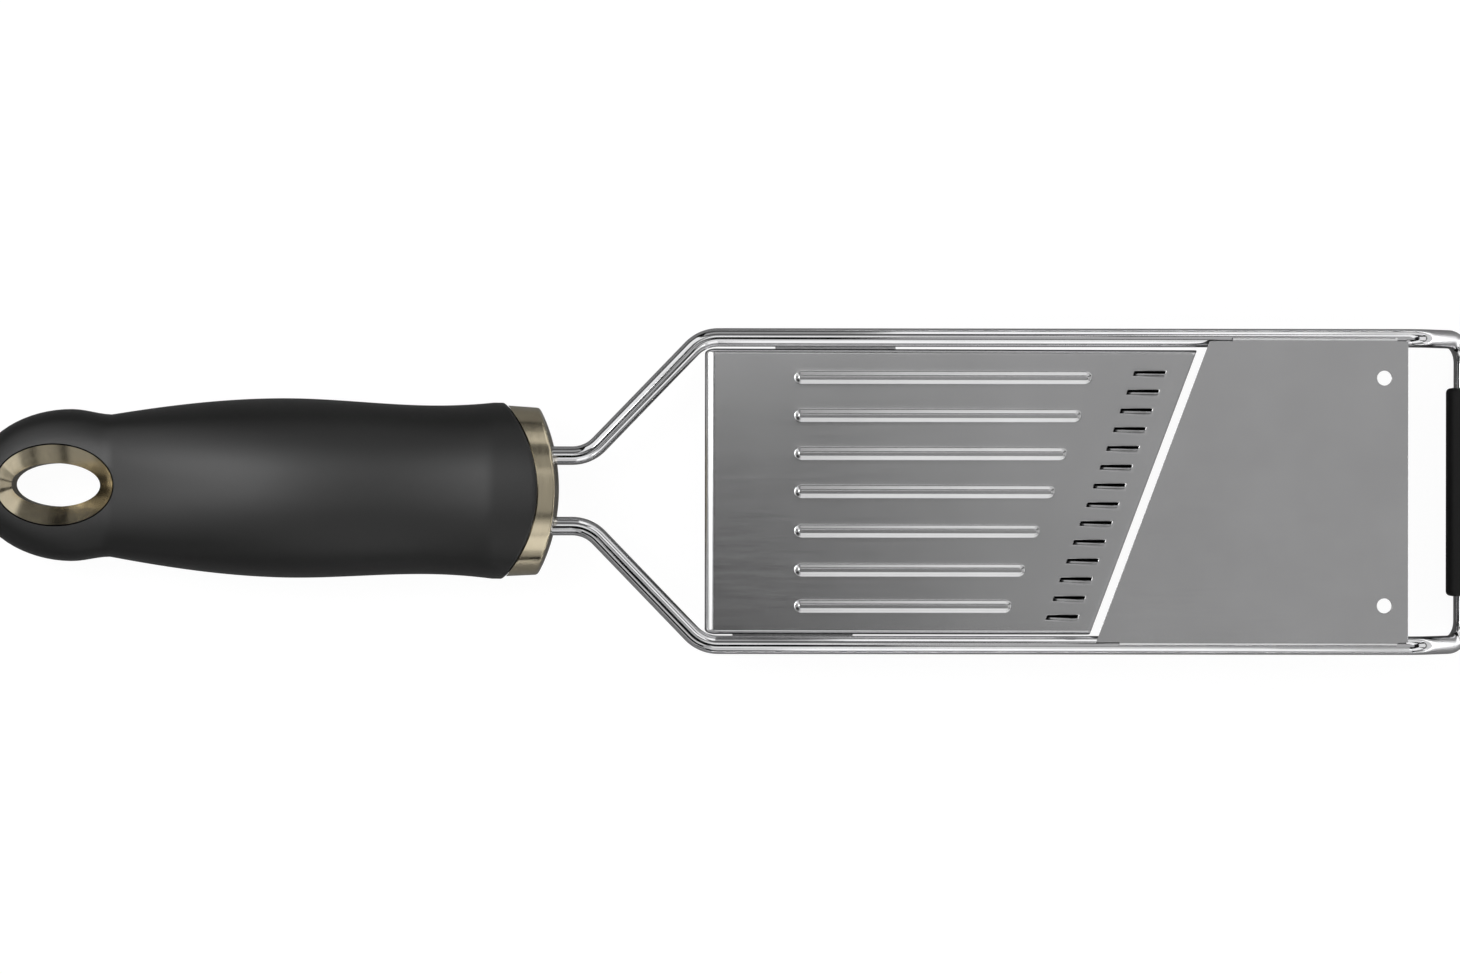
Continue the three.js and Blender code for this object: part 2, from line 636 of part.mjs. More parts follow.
function tooth(x, y) {
  const half = TOOTH_LENGTH / 2;
  const top = bladeTop - TOOTH_BELOW_EDGE - combTop;
  const fin = new THREE.Shape();
  fin.moveTo(-half, -COMB_SHEET);
  fin.lineTo(half, -COMB_SHEET);
  fin.lineTo(half, top);
  fin.lineTo(half - TOOTH_CREST, top);
  fin.lineTo(-half, 0);
  const blade = new THREE.ExtrudeGeometry(fin, { depth: TOOTH_THICKNESS, bevelEnabled: false });
  blade.translate(0, 0, -TOOTH_THICKNESS / 2).applyMatrix4(ALONG_Y);
  return solid(blade.translate(x, y, combTop));
}

// Finishes
const finish = (color, roughness, metalness) => () =>
  new THREE.MeshStandardMaterial({ color, roughness, metalness });
const polishedSteel = finish(0xc9cacb, 0.12, 1);
const satinSteel = finish(0xa6a7a8, 0.3, 1);
const softGrip = finish(0x2a2a2a, 0.7, 0);
const rubber = finish(0x232323, 0.8, 0);
const champagne = finish(0xa59473, 0.3, 0.8);
const corePlastic = finish(0x3a3a3a, 0.6, 0);

function piece(name, geometry, material) {
  const mesh = new THREE.Mesh(geometry, material());
  mesh.name = name;
  return mesh;
}

// The rod's channel, as it lies in the turned handle
const channel = solid(frameRod(channelRadius, FIT_GAP))
  .translate([-rimX, 0, 0])
  .rotate([0, 0, HANDLE_TURN])
  .translate([rimX, 0, 0]);

const frame = new THREE.Group();
const foot = piece("rubber_foot", geometryOf(rubberFoot()), rubber);
foot.position.set(crossBarX, 0, -footDrop);
frame.add(piece("wire_frame", frameRod(rodRadius, 0), polishedSteel), foot);

const plates = new THREE.Group();
plates.add(
  piece("infeed_plate", geometryOf(infeedPlate()), satinSteel),
  piece("julienne_comb", geometryOf(julienneComb()), satinSteel),
  piece("blade_plate", geometryOf(bladePlate()), satinSteel),
);

const handle = new THREE.Group();
const eyelet = piece("hang_eyelet", geometryOf(hangEyelet()), champagne);
eyelet.position.x = eyeX;
handle.add(
  piece("grip", geometryOf(grip()), softGrip),
  piece("handle_core_upper", geometryOf(handleCore(1, channel)), corePlastic),
  piece("handle_core_lower", geometryOf(handleCore(-1, channel)), corePlastic),
  piece("front_bolster", geometryOf(frontBolster(channel)), champagne),
  eyelet,
);
handle.position.x = -rimX;
const turned = new THREE.Group();
turned.add(handle);
turned.position.x = rimX;
turned.rotation.z = -THREE.MathUtils.degToRad(HANDLE_TURN);

const mandoline = new THREE.Group();
mandoline.add(frame, plates, turned);
mandoline.position.set(-overallLength / 2, 0, BELLY_HALF_HEIGHT);

const part = new THREE.Group();
part.add(mandoline);

export default part;
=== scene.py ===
# Julienne mandoline: the finished surfaces, laid over the fixed frame. Metres, +Z up, +X to the tip.
import math

import bmesh
import bpy
from mathutils import Matrix, Vector


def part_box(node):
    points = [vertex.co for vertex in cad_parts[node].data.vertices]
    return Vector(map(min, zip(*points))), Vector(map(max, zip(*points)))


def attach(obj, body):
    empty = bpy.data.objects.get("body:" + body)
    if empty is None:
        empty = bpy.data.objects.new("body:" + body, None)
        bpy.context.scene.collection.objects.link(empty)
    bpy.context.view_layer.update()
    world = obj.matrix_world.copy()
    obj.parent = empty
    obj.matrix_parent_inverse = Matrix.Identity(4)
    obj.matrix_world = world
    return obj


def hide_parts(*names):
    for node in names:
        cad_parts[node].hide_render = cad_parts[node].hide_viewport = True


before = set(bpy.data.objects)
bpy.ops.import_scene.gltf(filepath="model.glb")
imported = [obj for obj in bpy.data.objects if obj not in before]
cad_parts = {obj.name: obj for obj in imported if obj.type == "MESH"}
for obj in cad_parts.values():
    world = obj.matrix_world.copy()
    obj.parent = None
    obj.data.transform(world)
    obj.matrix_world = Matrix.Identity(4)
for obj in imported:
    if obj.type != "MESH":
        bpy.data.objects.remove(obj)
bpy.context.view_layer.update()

# Tolerances
NEAR = 1e-6  # a vert this close to a line lies on it
SAME = 1e-7  # verts this close are one
SQUARE_ON = 0.99  # a face looks along an axis if its normal has more than this along it

# Wire frame
ROD_RADIUS = 0.002
ROD_SIDES = 32
TANG_Y = 0.0076
TANG_REACH = 0.0067  # from the bolster's nose to the corner of the splay
SPLAY_ANGLE = math.radians(46)
SPLAY_RADIUS = 0.008
TIP_ANGLE = math.radians(45)
TIP_RADIUS = 0.006
CORNER_RADIUS = 0.0052
HOOK_RADIUS = 0.004
HOOK_END_Y = 0.0016
BEND_STEP = math.radians(5)

rod_low, rod_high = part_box("wire_frame")
ROD_Z = rod_high.z - ROD_RADIUS
RAIL_Y = rod_high.y - ROD_RADIUS
CROSS_BAR_X = rod_high.x - ROD_RADIUS
CROSS_BAR_Z = rod_low.z + ROD_RADIUS
HOOK_X = rod_low.x + ROD_RADIUS
BOLSTER_NOSE_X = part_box("front_bolster")[1].x
SPLAY_X = BOLSTER_NOSE_X + TANG_REACH
RAIL_X = SPLAY_X + (RAIL_Y - TANG_Y) / math.tan(SPLAY_ANGLE)
RAIL_END_X = CROSS_BAR_X - (ROD_Z - CROSS_BAR_Z) / math.tan(TIP_ANGLE)

# Blade plate
BLADE_SLOPE = math.tan(math.radians(20.6))  # along the tool for each metre across it
BLADE_SHEET = 0.0006
LIP_RADIUS = 0.0009
LIP_FRONT_SETBACK = 0.005
LIP_END_SETBACK = 0.0023
BEVEL_WIDTH = 0.0022
EDGE_LAND = 0.0001
LIP_STEPS = 6
BLADE_EDGE_BREAK = 0.00006  # bevel on the sheet's sharp edges
PLATE_HOLE_RADIUS = 0.0016
PLATE_HOLE_Y = 0.0245
PLATE_HOLE_INSET = 0.0051
HOLE_POINTS = 32

blade_low, blade_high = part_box("blade_plate")
BLADE_TOP = blade_high.z
BLADE_END_X = blade_high.x
BLADE_Y = blade_high.y - LIP_RADIUS
BLADE_EDGE_X = blade_low.x + BLADE_SLOPE * BLADE_Y  # on the tool's axis
SLANTED = Vector((1, -BLADE_SLOPE, 0))  # square to every line along the cutting edge
SLANT_STRETCH = SLANTED.length  # along the tool for each metre square to the edge

# Infeed plate
INFEED_SHEET = 0.0005
INFEED_EDGE_BREAK = 0.00005
NEAR_GAP = 0.00025  # to the rail on the -Y side
FAR_GAP_BACK = 0.00035  # to the rail on the +Y side, at the handle end
FAR_GAP_FRONT = 0.0006
THROAT_GAP = 0.00175
EDGE_ROLL = 0.0011
BACK_ROLL = 0.0023  # how far the rolled end at the handle reaches along the tool
FRONT_ROLL = 0.0020  # the same at the front, had it not been cut off
FRONT_TRIM = 0.00126  # what is cut off it, along the tool
ROLL_STEPS = 8
SKIRT_DROP = 0.0025
FLANGE_LENGTH = 0.026
NEAR_FLANGE_START = 0.006
FAR_FLANGE_START = 0.0152
FLANGE_OVERHANG = 0.0012
RIBS = [  # each one's place across the tool, and how much it stops short of the slanted line
    (-0.0248, 0.0),
    (-0.0170, 0.0),
    (-0.0086, 0.0),
    (-0.0001, 0.0),
    (0.0081, 0.0005),
    (0.0163, 0.0005),
    (0.0245, 0.0013),
]
RIB_WIDTH = 0.0031
RIB_HEIGHT = 0.0008  # of the frame's ribs, from the flat sheet to the top of its box
RIB_RISE = 0.00055  # of the ribs made here
RIB_FLANK = 0.0013  # across, from a rib's foot to its narrow crest
RIB_STEPS = 10
RIB_END_CUTS = 11
RIB_START = 0.0192
RIB_FRONT_SETBACK = 0.01885
BED_MARGIN = 0.0008  # flat sheet kept around a rib or slot while it is pressed

infeed_low, infeed_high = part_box("infeed_plate")
INFEED_X = infeed_low.x
INFEED_TOP = infeed_high.z - RIB_HEIGHT
INFEED_Y = RAIL_Y - ROD_RADIUS - NEAR_GAP
FAR_BACK_Y = RAIL_Y - ROD_RADIUS - FAR_GAP_BACK
FAR_FRONT_Y = RAIL_Y - ROD_RADIUS - FAR_GAP_FRONT
INFEED_END_X = BLADE_EDGE_X - THROAT_GAP  # on the tool's axis

# Julienne comb
COMB_SHEET = 0.0005
COMB_BORDER = 0.0016
COMB_EDGE_BREAK = 0.00004
TOOTH_SLOPE = math.tan(math.radians(19.6))  # the row slants a little less than the edge
TOOTH_SHIFT = -0.0002  # across the tool, of a tooth from the middle of its slot
TOOTH_COUNT = 14
TOOTH_PITCH = 0.00405
TOOTH_FIRST_Y = -0.02716
TOOTH_LENGTH = 0.0062
TOOTH_THICKNESS = 0.0005
TOOTH_CREST = 0.0014
TOOTH_FRONT_SETBACK = 0.00475
TOOTH_GROUND = 0.6  # share of the thickness left at the crest, ground off the +Y side
SLOT_CLEARANCE = 0.0003
SLOT_HALF_WIDTH = 0.00055
SLOT_ROUND = 0.00012

comb_low, comb_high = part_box("julienne_comb")
TOOTH_TOP = comb_high.z
COMB_TOP = comb_low.z + COMB_SHEET
TOOTH_PLACES = [TOOTH_FIRST_Y + i * TOOTH_PITCH for i in range(TOOTH_COUNT)]  # across the tool
TOOTH_ROW = Vector((1, -TOOTH_SLOPE, 0))  # square to the row of teeth

# Grip
BUTT_TO_LOOP = 0.02135  # along the handle, from the butt's end to the loop's widest station
LOOP_TO_NECK = 0.0084
NECK_TO_BELLY = 0.0388
BELLY_TO_WAIST = 0.0298
WAIST_TO_FLARE = 0.0137
FLARE_TO_RIM = 0.0022
GRIP_BOW = 0.0078  # how far the front rim bows forward
GRIP_WALL = 0.0025
GRIP_RIM_ROUND = 0.0004
GRIP_RIM_STEPS = 4
RIM_SLACK = 1e-3  # how far from 1 the section's formula may come out at the rim
LOOP_SQUARENESS = 3.0  # exponents of the superellipse sections
BODY_SQUARENESS = 2.3
SWELL_SOFTNESS = 0.15  # share of a soft start in the swell from the neck to the belly
BUTT_FULLNESS = 0.5  # below 1 the butt is blunter than an ellipse, seen from the side
BUTT_CAP = 0.05  # part of a step between the butt's rings that stays as its flat end
HANDLE_TURN = math.radians(0.68)  # how far the handle sits turned on the tangs, its butt to +Y
SECTION_POINTS = 96
RING_STEP = 0.0014
BUTT_RINGS = 18
BOW_RINGS = 9
SKIN_RINGS_PER_WALL_RING = 4

BUTT_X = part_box("grip")[0].x
LOOP_X = BUTT_X + BUTT_TO_LOOP
NECK_X = LOOP_X + LOOP_TO_NECK
BELLY_X = NECK_X + NECK_TO_BELLY
WAIST_X = BELLY_X + BELLY_TO_WAIST
FLARE_X = WAIST_X + WAIST_TO_FLARE
RIM_X = FLARE_X + FLARE_TO_RIM
GRIP_NOSE_X = RIM_X + GRIP_BOW
CORE_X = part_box("handle_core_upper")[0].x
GRIP_STATIONS = [
    # place, half width, half height, squareness of the section, easing from the station before
    (LOOP_X, 0.0164, 0.0085, LOOP_SQUARENESS, None),
    (NECK_X, 0.01535, 0.0088, LOOP_SQUARENESS, "smooth"),
    (BELLY_X, 0.01935, 0.0145, BODY_SQUARENESS, "swell"),
    (WAIST_X, 0.0182, 0.0133, BODY_SQUARENESS, "smooth"),
    (FLARE_X, 0.0190, 0.0140, BODY_SQUARENESS, "arrive"),
]
FLARE = GRIP_STATIONS[-1][1:4]  # its size holds from there to the rim
FLARE_WIDTH, FLARE_HEIGHT = FLARE[:2]

# Bolster
BOLSTER_BOW = 0.0045
BOLSTER_STEP = 0.0006  # below the grip's surface
BOLSTER_TAPER = 0.00036
BOLSTER_ROUND = 0.0005
BOLSTER_ROUND_STEPS = 4
BOLSTER_SIDE_RING = 0.95  # share of the way along the side, where a ring keeps the side straight
BOLSTER_FACE_RINGS = (0.2, 0.4, 0.6, 0.8, 0.95)  # shares of the way from the front's edge inwards
SPIGOT_LENGTH = 0.005
FIT_GAP = 0.0003

# Hanging eye
eye_low, eye_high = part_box("hang_eyelet")
EYE_X = (eye_low.x + eye_high.x) / 2
EYE_LENGTH = 0.0096
EYE_WIDTH = 0.00465
EYE_FLARE_LENGTH = 0.00305
EYE_FLARE_WIDTH = 0.00395
EYE_WALL = 0.0011
EYE_RECESS = 0.0002  # how far the eyelet's rim lies below the grip's skin
EYE_POINTS = 96
EYE_RINGS = 6
EYE_THROAT = 0.62  # share of the half height at which the cone starts
POCKET_REACH = 2.0  # half heights that the eye's cutter runs to, past both faces

# Rubber foot
FOOT_LENGTH = 0.0453
FOOT_CORNER = 0.002
FOOT_END_ROUND = 0.001
FOOT_BORE_DEPTH = 0.006
FOOT_CORNER_STEPS = 8
FOOT_END_STEPS = 5

# Photograph: its size, how much of the tool one of its pixels covers, and where it was taken from
IMAGE_WIDTH = 1460
PIXEL_SIZE = 0.0002157
CAMERA_HEIGHT = 1.1  # above the rods
CAMERA_Y = 0.00088
CAMERA_ROLL = math.radians(0.079)
SENSOR_WIDTH = 36.0


# Shaping

ACROSS = Vector((0, 1, 0))
ALONG = Vector((1, 0, 0))
EDGE_BREAK_ANGLE = math.radians(40)  # sharper edges are broken


def edges_within(verts):
    """The edges whose two ends are both among the verts."""
    among = set(verts)
    linked = dict.fromkeys(e for v in verts for e in v.link_edges)
    return [e for e in linked if among.issuperset(e.verts)]


def verts_of(geom):
    return [g for g in geom if isinstance(g, bmesh.types.BMVert)]


def faces_of(geom):
    return [g for g in geom if isinstance(g, bmesh.types.BMFace)]


def lofted(sides, rings, capped=True):
    """A skin through rings, each of which gives a point for each turn round it."""
    bm = bmesh.new()
    turn = bm.verts.layers.float.new("turn")
    verts = bmesh.ops.create_circle(bm, cap_ends=capped, segments=sides, radius=1)["verts"]
    for i, vert in enumerate(verts):
        vert[turn] = 2 * math.pi * i / sides
        vert.co = rings[0](vert[turn])
    first = edges = edges_within(verts)
    for ring in rings[1:]:
        verts = verts_of(bmesh.ops.extrude_edge_only(bm, edges=edges)["geom"])
        edges = edges_within(verts)
        for vert in verts:
            vert.co = ring(vert[turn])
    if capped:
        bmesh.ops.contextual_create(bm, geom=edges)
    else:
        bmesh.ops.bridge_loops(bm, edges=first + edges)
    bm.verts.layers.float.remove(turn)
    bmesh.ops.recalc_face_normals(bm, faces=bm.faces[:])
    return bm


def bent_rod(bm, corners, radius):
    """Half of a round rod: straight runs between corners, each corner turned on its own radius."""
    place, _ = corners[0]
    heading = (corners[1][0] - place).normalized()
    upright = Matrix.Translation(place) @ heading.to_track_quat("Z", "Y").to_matrix().to_4x4()
    verts = bmesh.ops.create_circle(bm, segments=ROD_SIDES, radius=radius, matrix=upright)["verts"]
    for i in range(1, len(corners)):
        at, turn_radius = corners[i]
        setback = 0.0
        if turn_radius:
            outward = (corners[i + 1][0] - at).normalized()
            angle = heading.angle(outward)
            setback = turn_radius * math.tan(angle / 2)
        run = at - heading * setback - place
        verts = verts_of(bmesh.ops.extrude_edge_only(bm, edges=edges_within(verts))["geom"])
        bmesh.ops.translate(bm, vec=run, verts=verts)
        place = place + run
        if turn_radius:
            axis = heading.cross(outward).normalized()
            spun = bmesh.ops.spin(
                bm,
                geom=verts + edges_within(verts),
                cent=place + axis.cross(heading) * turn_radius,
                axis=axis,
                angle=angle,
                steps=math.ceil(angle / BEND_STEP),
            )
            verts = verts_of(spun["geom_last"])
            place = at + outward * setback
            heading = outward
    bmesh.ops.contextual_create(bm, geom=edges_within(verts))


def sliced(bm, faces, point, normal):
    """Cuts the faces along a plane, and gives all the faces that they become."""
    geom = dict.fromkeys(faces)
    for face in faces:
        geom.update(dict.fromkeys([*face.edges, *face.verts]))
    made = bmesh.ops.bisect_plane(bm, geom=list(geom), dist=SAME, plane_co=point, plane_no=normal)
    return faces_of(made["geom"])


def grown_in(bm, face, thickness, depth=0.0):
    """Draws a face's outline in, and raises what is inside it."""
    bmesh.ops.inset_individual(
        bm, faces=[face], thickness=thickness, depth=depth, use_even_offset=True
    )


def carved(bm, *cutters):
    """What is left of a solid when the cutters' shapes are taken out of it."""
    body = loose_object("body", bm)
    tools = [loose_object("cutter", cutter) for cutter in cutters]
    for tool in tools:
        cut = body.modifiers.new("cut", "BOOLEAN")
        cut.operation = "DIFFERENCE"
        cut.solver = "EXACT"
        cut.object = tool
    result = bmesh.new()
    result.from_object(body, bpy.context.evaluated_depsgraph_get())
    for spare in [body, *tools]:
        mesh = spare.data
        bpy.data.objects.remove(spare)
        bpy.data.meshes.remove(mesh)
    return result


def loose_object(name, bm):
    mesh = bpy.data.meshes.new(name)
    bm.to_mesh(mesh)
    bm.free()
    loose = bpy.data.objects.new(name, mesh)
    bpy.context.scene.collection.objects.link(loose)
    return loose


def finished(name, bm, material, node, crease=35):
    """A shown piece that stands for a node of the frame, smooth up to a crease angle in degrees."""
    piece = loose_object(name, bm)
    piece.data.materials.append(material)
    for polygon in piece.data.polygons:
        polygon.use_smooth = True
        polygon.material_index = 0
    piece.data.set_sharp_from_angle(angle=math.radians(crease))
    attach(piece, "root")
    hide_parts(node)
    return piece


def soften_edges(piece, width):
    """Breaks a piece's sharp edges, as a deburred sheet has them."""
    bevel = piece.modifiers.new("broken_edges", "BEVEL")
    bevel.width = width
    bevel.segments = 2
    bevel.limit_method = "ANGLE"
    bevel.angle_limit = EDGE_BREAK_ANGLE
    flat = piece.modifiers.new("flat_sheet", "WEIGHTED_NORMAL")
    flat.weight = 100
    flat.keep_sharp = True


# Wire frame

def wire_frame(material):
    bm = bmesh.new()
    bent_rod(
        bm,
        [
            (Vector((CROSS_BAR_X, 0, CROSS_BAR_Z)), None),
            (Vector((CROSS_BAR_X, RAIL_Y, CROSS_BAR_Z)), CORNER_RADIUS),
            (Vector((RAIL_END_X, RAIL_Y, ROD_Z)), TIP_RADIUS),
            (Vector((RAIL_X, RAIL_Y, ROD_Z)), SPLAY_RADIUS),
            (Vector((SPLAY_X, TANG_Y, ROD_Z)), SPLAY_RADIUS),
            (Vector((HOOK_X, TANG_Y, ROD_Z)), HOOK_RADIUS),
            (Vector((HOOK_X, HOOK_END_Y, ROD_Z)), None),
        ],
        ROD_RADIUS,
    )
    whole = bm.verts[:] + bm.edges[:] + bm.faces[:]
    bmesh.ops.mirror(bm, geom=whole, matrix=Matrix.Identity(4), merge_dist=NEAR, axis="Y")
    bmesh.ops.remove_doubles(bm, verts=bm.verts[:], dist=SAME)
    bmesh.ops.recalc_face_normals(bm, faces=bm.faces[:])
    finished("bent_rod_frame", bm, material, "wire_frame")


# Handle

EASINGS = {
    "smooth": lambda t: t * t * (3 - 2 * t),
    "swell": lambda t: (1 - SWELL_SOFTNESS) * t * (2 - t) + SWELL_SOFTNESS * t * t * (3 - 2 * t),
    "arrive": lambda t: t * t,
}


def grip_size_at(x):
    """The grip's half width, half height and squareness at a place along the handle."""
    if x <= LOOP_X:
        _, width, height, squareness, _ = GRIP_STATIONS[0]
        drawn = (LOOP_X - x) / (LOOP_X - BUTT_X)
        sine = math.sqrt(max(1 - drawn * drawn, 0))
        return width * sine, height * sine**BUTT_FULLNESS, squareness
    for before, after in zip(GRIP_STATIONS, GRIP_STATIONS[1:]):
        if x <= after[0]:
            share = EASINGS[after[4]]((x - before[0]) / (after[0] - before[0]))
            return tuple(a + (b - a) * share for a, b in zip(before[1:4], after[1:4]))
    return FLARE


def section_point(x, size, turn, inset=0.0):
    """A point of the superellipse section across the handle."""
    width, height, squareness = size
    across, up = math.cos(turn), math.sin(turn)
    sum_of_powers = abs(across / (width - inset)) ** squareness + abs(up / (height - inset)) ** squareness
    reach = sum_of_powers ** (-1 / squareness)
    return Vector((x, reach * across, ROD_Z + reach * up))


def bowed(nose_x, bow, y):
    """Where a front that bows forward lies, at a distance from the handle's axis."""
    radius = (FLARE_WIDTH**2 + bow**2) / (2 * bow)
    return nose_x - radius + math.sqrt(radius**2 - y**2)


def grip_ring(x, inset=0.0):
    return lambda turn: section_point(x, grip_size_at(x), turn, inset)


def bowed_ring(nose_x, bow, inset=0.0, share=1.0):
    """A ring part of the way from the flare to a bowed front."""

    def ring(turn):
        point = section_point(0, FLARE, turn, inset)
        point.x = FLARE_X + (bowed(nose_x, bow, point.y) - FLARE_X) * share
        return point

    return ring


def set_on_tangs(bm):
    """Turns a piece of the handle about the rim, as it sits on the tangs."""
    turn = Matrix.Rotation(-HANDLE_TURN, 3, "Z")
    bmesh.ops.rotate(bm, cent=(RIM_X, 0, ROD_Z), matrix=turn, verts=bm.verts[:])


def grip(material):
    loop = LOOP_X - BUTT_X
    angles = [math.pi / 2 * (k + BUTT_CAP) / BUTT_RINGS for k in range(BUTT_RINGS)]
    places = [BUTT_X + loop * (1 - math.cos(angle)) for angle in angles]
    steps = round((FLARE_X - LOOP_X) / RING_STEP)
    places += [LOOP_X + (FLARE_X - LOOP_X) * k / steps for k in range(steps + 1)]
    rings = [grip_ring(x) for x in places]
    for k in range(1, BOW_RINGS + 1):
        rings.append(bowed_ring(GRIP_NOSE_X, GRIP_BOW, share=k / BOW_RINGS))
    rings.append(bowed_ring(GRIP_NOSE_X, GRIP_BOW, GRIP_WALL))
    inner = [x for x in places[::SKIN_RINGS_PER_WALL_RING] if x > CORE_X]
    rings += [grip_ring(x, GRIP_WALL) for x in [*reversed(inner), CORE_X - FIT_GAP]]
    bm = lofted(SECTION_POINTS, rings)
    rim = [e for e in bm.edges if all(on_grip_rim(v.co) for v in e.verts)]
    bmesh.ops.bevel(
        bm,
        geom=rim,
        offset=GRIP_RIM_ROUND,
        segments=GRIP_RIM_STEPS,
        profile=0.5,
        affect="EDGES",
        material=-1,
    )
    bm = carved(bm, eye_pocket())
    set_on_tangs(bm)
    finished("soft_grip", bm, material, "grip", crease=50)


def on_grip_rim(point):
    near = abs(point.x - bowed(GRIP_NOSE_X, GRIP_BOW, point.y)) < NEAR
    width, height, squareness = FLARE
    level = abs(point.y / width) ** squareness + abs((point.z - ROD_Z) / height) ** squareness
    return near and abs(level - 1) < RIM_SLACK


def skin_height(x, y):
    """How far the grip's skin stands above the handle's axis."""
    width, height, squareness = grip_size_at(x)
    return height * (1 - min(abs(y / width), 1) ** squareness) ** (1 / squareness)


def eye_ring(length, width, rise, grown=0.0, lift=0.0):
    """A ring of the eye. Its height is a share of the grip's own half height beside the rim."""

    def ring(turn):
        across, along = math.sin(turn), math.cos(turn)
        rim_x = EYE_X + (EYE_LENGTH + EYE_FLARE_LENGTH) * along
        rim_y = (EYE_WIDTH + EYE_FLARE_WIDTH) * across
        half_height = skin_height(rim_x, rim_y) - EYE_RECESS
        return Vector((
            EYE_X + (length + grown) * along,
            (width + grown) * across,
            ROD_Z + half_height * rise + lift,
        ))

    return ring


def spool(wall, grown=0.0):
    """Rings up the wall of the eye: a cone at either face and a straight throat between them."""
    steps = range(EYE_RINGS + 1)
    cone = [(k / EYE_RINGS, EYE_THROAT + (1 - EYE_THROAT) * k / EYE_RINGS) for k in steps]
    rings = []
    for flare, rise in [*((flare, -rise) for flare, rise in reversed(cone)), (0, 0), *cone]:
        length = EYE_LENGTH + wall + (EYE_FLARE_LENGTH - wall) * flare
        width = EYE_WIDTH + wall + (EYE_FLARE_WIDTH - wall) * flare
        rings.append(eye_ring(length, width, rise, grown, -wall * rise))
    return rings


def eye_pocket():
    length = EYE_LENGTH + EYE_FLARE_LENGTH
    width = EYE_WIDTH + EYE_FLARE_WIDTH
    below, above = (eye_ring(length, width, far, FIT_GAP) for far in (-POCKET_REACH, POCKET_REACH))
    return lofted(EYE_POINTS, [below, *spool(EYE_WALL, FIT_GAP), above])


def hang_eyelet(material):
    bm = lofted(EYE_POINTS, [*spool(0), *reversed(spool(EYE_WALL))], capped=False)
    set_on_tangs(bm)
    finished("eye_liner", bm, material, "hang_eyelet")


def front_bolster(material):
    spigot_inset = GRIP_WALL + FIT_GAP
    spigot_x = RIM_X - SPIGOT_LENGTH
    back_nose = GRIP_NOSE_X + FIT_GAP
    rings = [
        lambda turn: section_point(spigot_x, FLARE, turn, spigot_inset),
        bowed_ring(back_nose, GRIP_BOW, spigot_inset),
        bowed_ring(back_nose, GRIP_BOW, BOLSTER_STEP),
    ]
    front_inset = BOLSTER_STEP + BOLSTER_TAPER
    rounding = []
    for k in range(BOLSTER_ROUND_STEPS + 1):
        angle = math.pi / 2 * k / BOLSTER_ROUND_STEPS
        drawn = front_inset + BOLSTER_ROUND * (1 - math.cos(angle))
        set_back = BOLSTER_ROUND * (1 - math.sin(angle))
        rounding.append(bowed_ring(BOLSTER_NOSE_X - set_back, BOLSTER_BOW, drawn))
    back, front = rings[-1], rounding[0]
    rings.append(lambda turn: back(turn).lerp(front(turn), BOLSTER_SIDE_RING))
    rings += rounding
    least = min(FLARE_WIDTH, FLARE_HEIGHT)
    for share in BOLSTER_FACE_RINGS:
        drawn = front_inset + BOLSTER_ROUND + (least - front_inset - BOLSTER_ROUND) * share
        rings.append(bowed_ring(BOLSTER_NOSE_X, BOLSTER_BOW, drawn))
    bm = lofted(SECTION_POINTS, rings)
    set_on_tangs(bm)
    bm = carved(bm, rod_channel(1), rod_channel(-1))
    finished("bolster_cap", bm, material, "front_bolster", crease=40)


def rod_channel(side):
    """The hole that a tang runs through, longer than the cap at both ends."""
    bm = bmesh.new()
    turned = Matrix.Rotation(math.pi / 2, 4, "Y")
    place = Matrix.Translation((BOLSTER_NOSE_X, side * TANG_Y, ROD_Z)) @ turned
    bmesh.ops.create_cone(
        bm,
        cap_ends=True,
        segments=ROD_SIDES,
        radius1=ROD_RADIUS + FIT_GAP,
        radius2=ROD_RADIUS + FIT_GAP,
        depth=4 * (BOLSTER_NOSE_X - FLARE_X),
        matrix=place,
    )
    return bm


def handle_cores(material):
    """The halves hidden in the grip keep the frame's own meshes."""
    for half in ("handle_core_upper", "handle_core_lower"):
        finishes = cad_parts[half].data.materials
        finishes.clear()
        finishes.append(material)


# Rubber foot

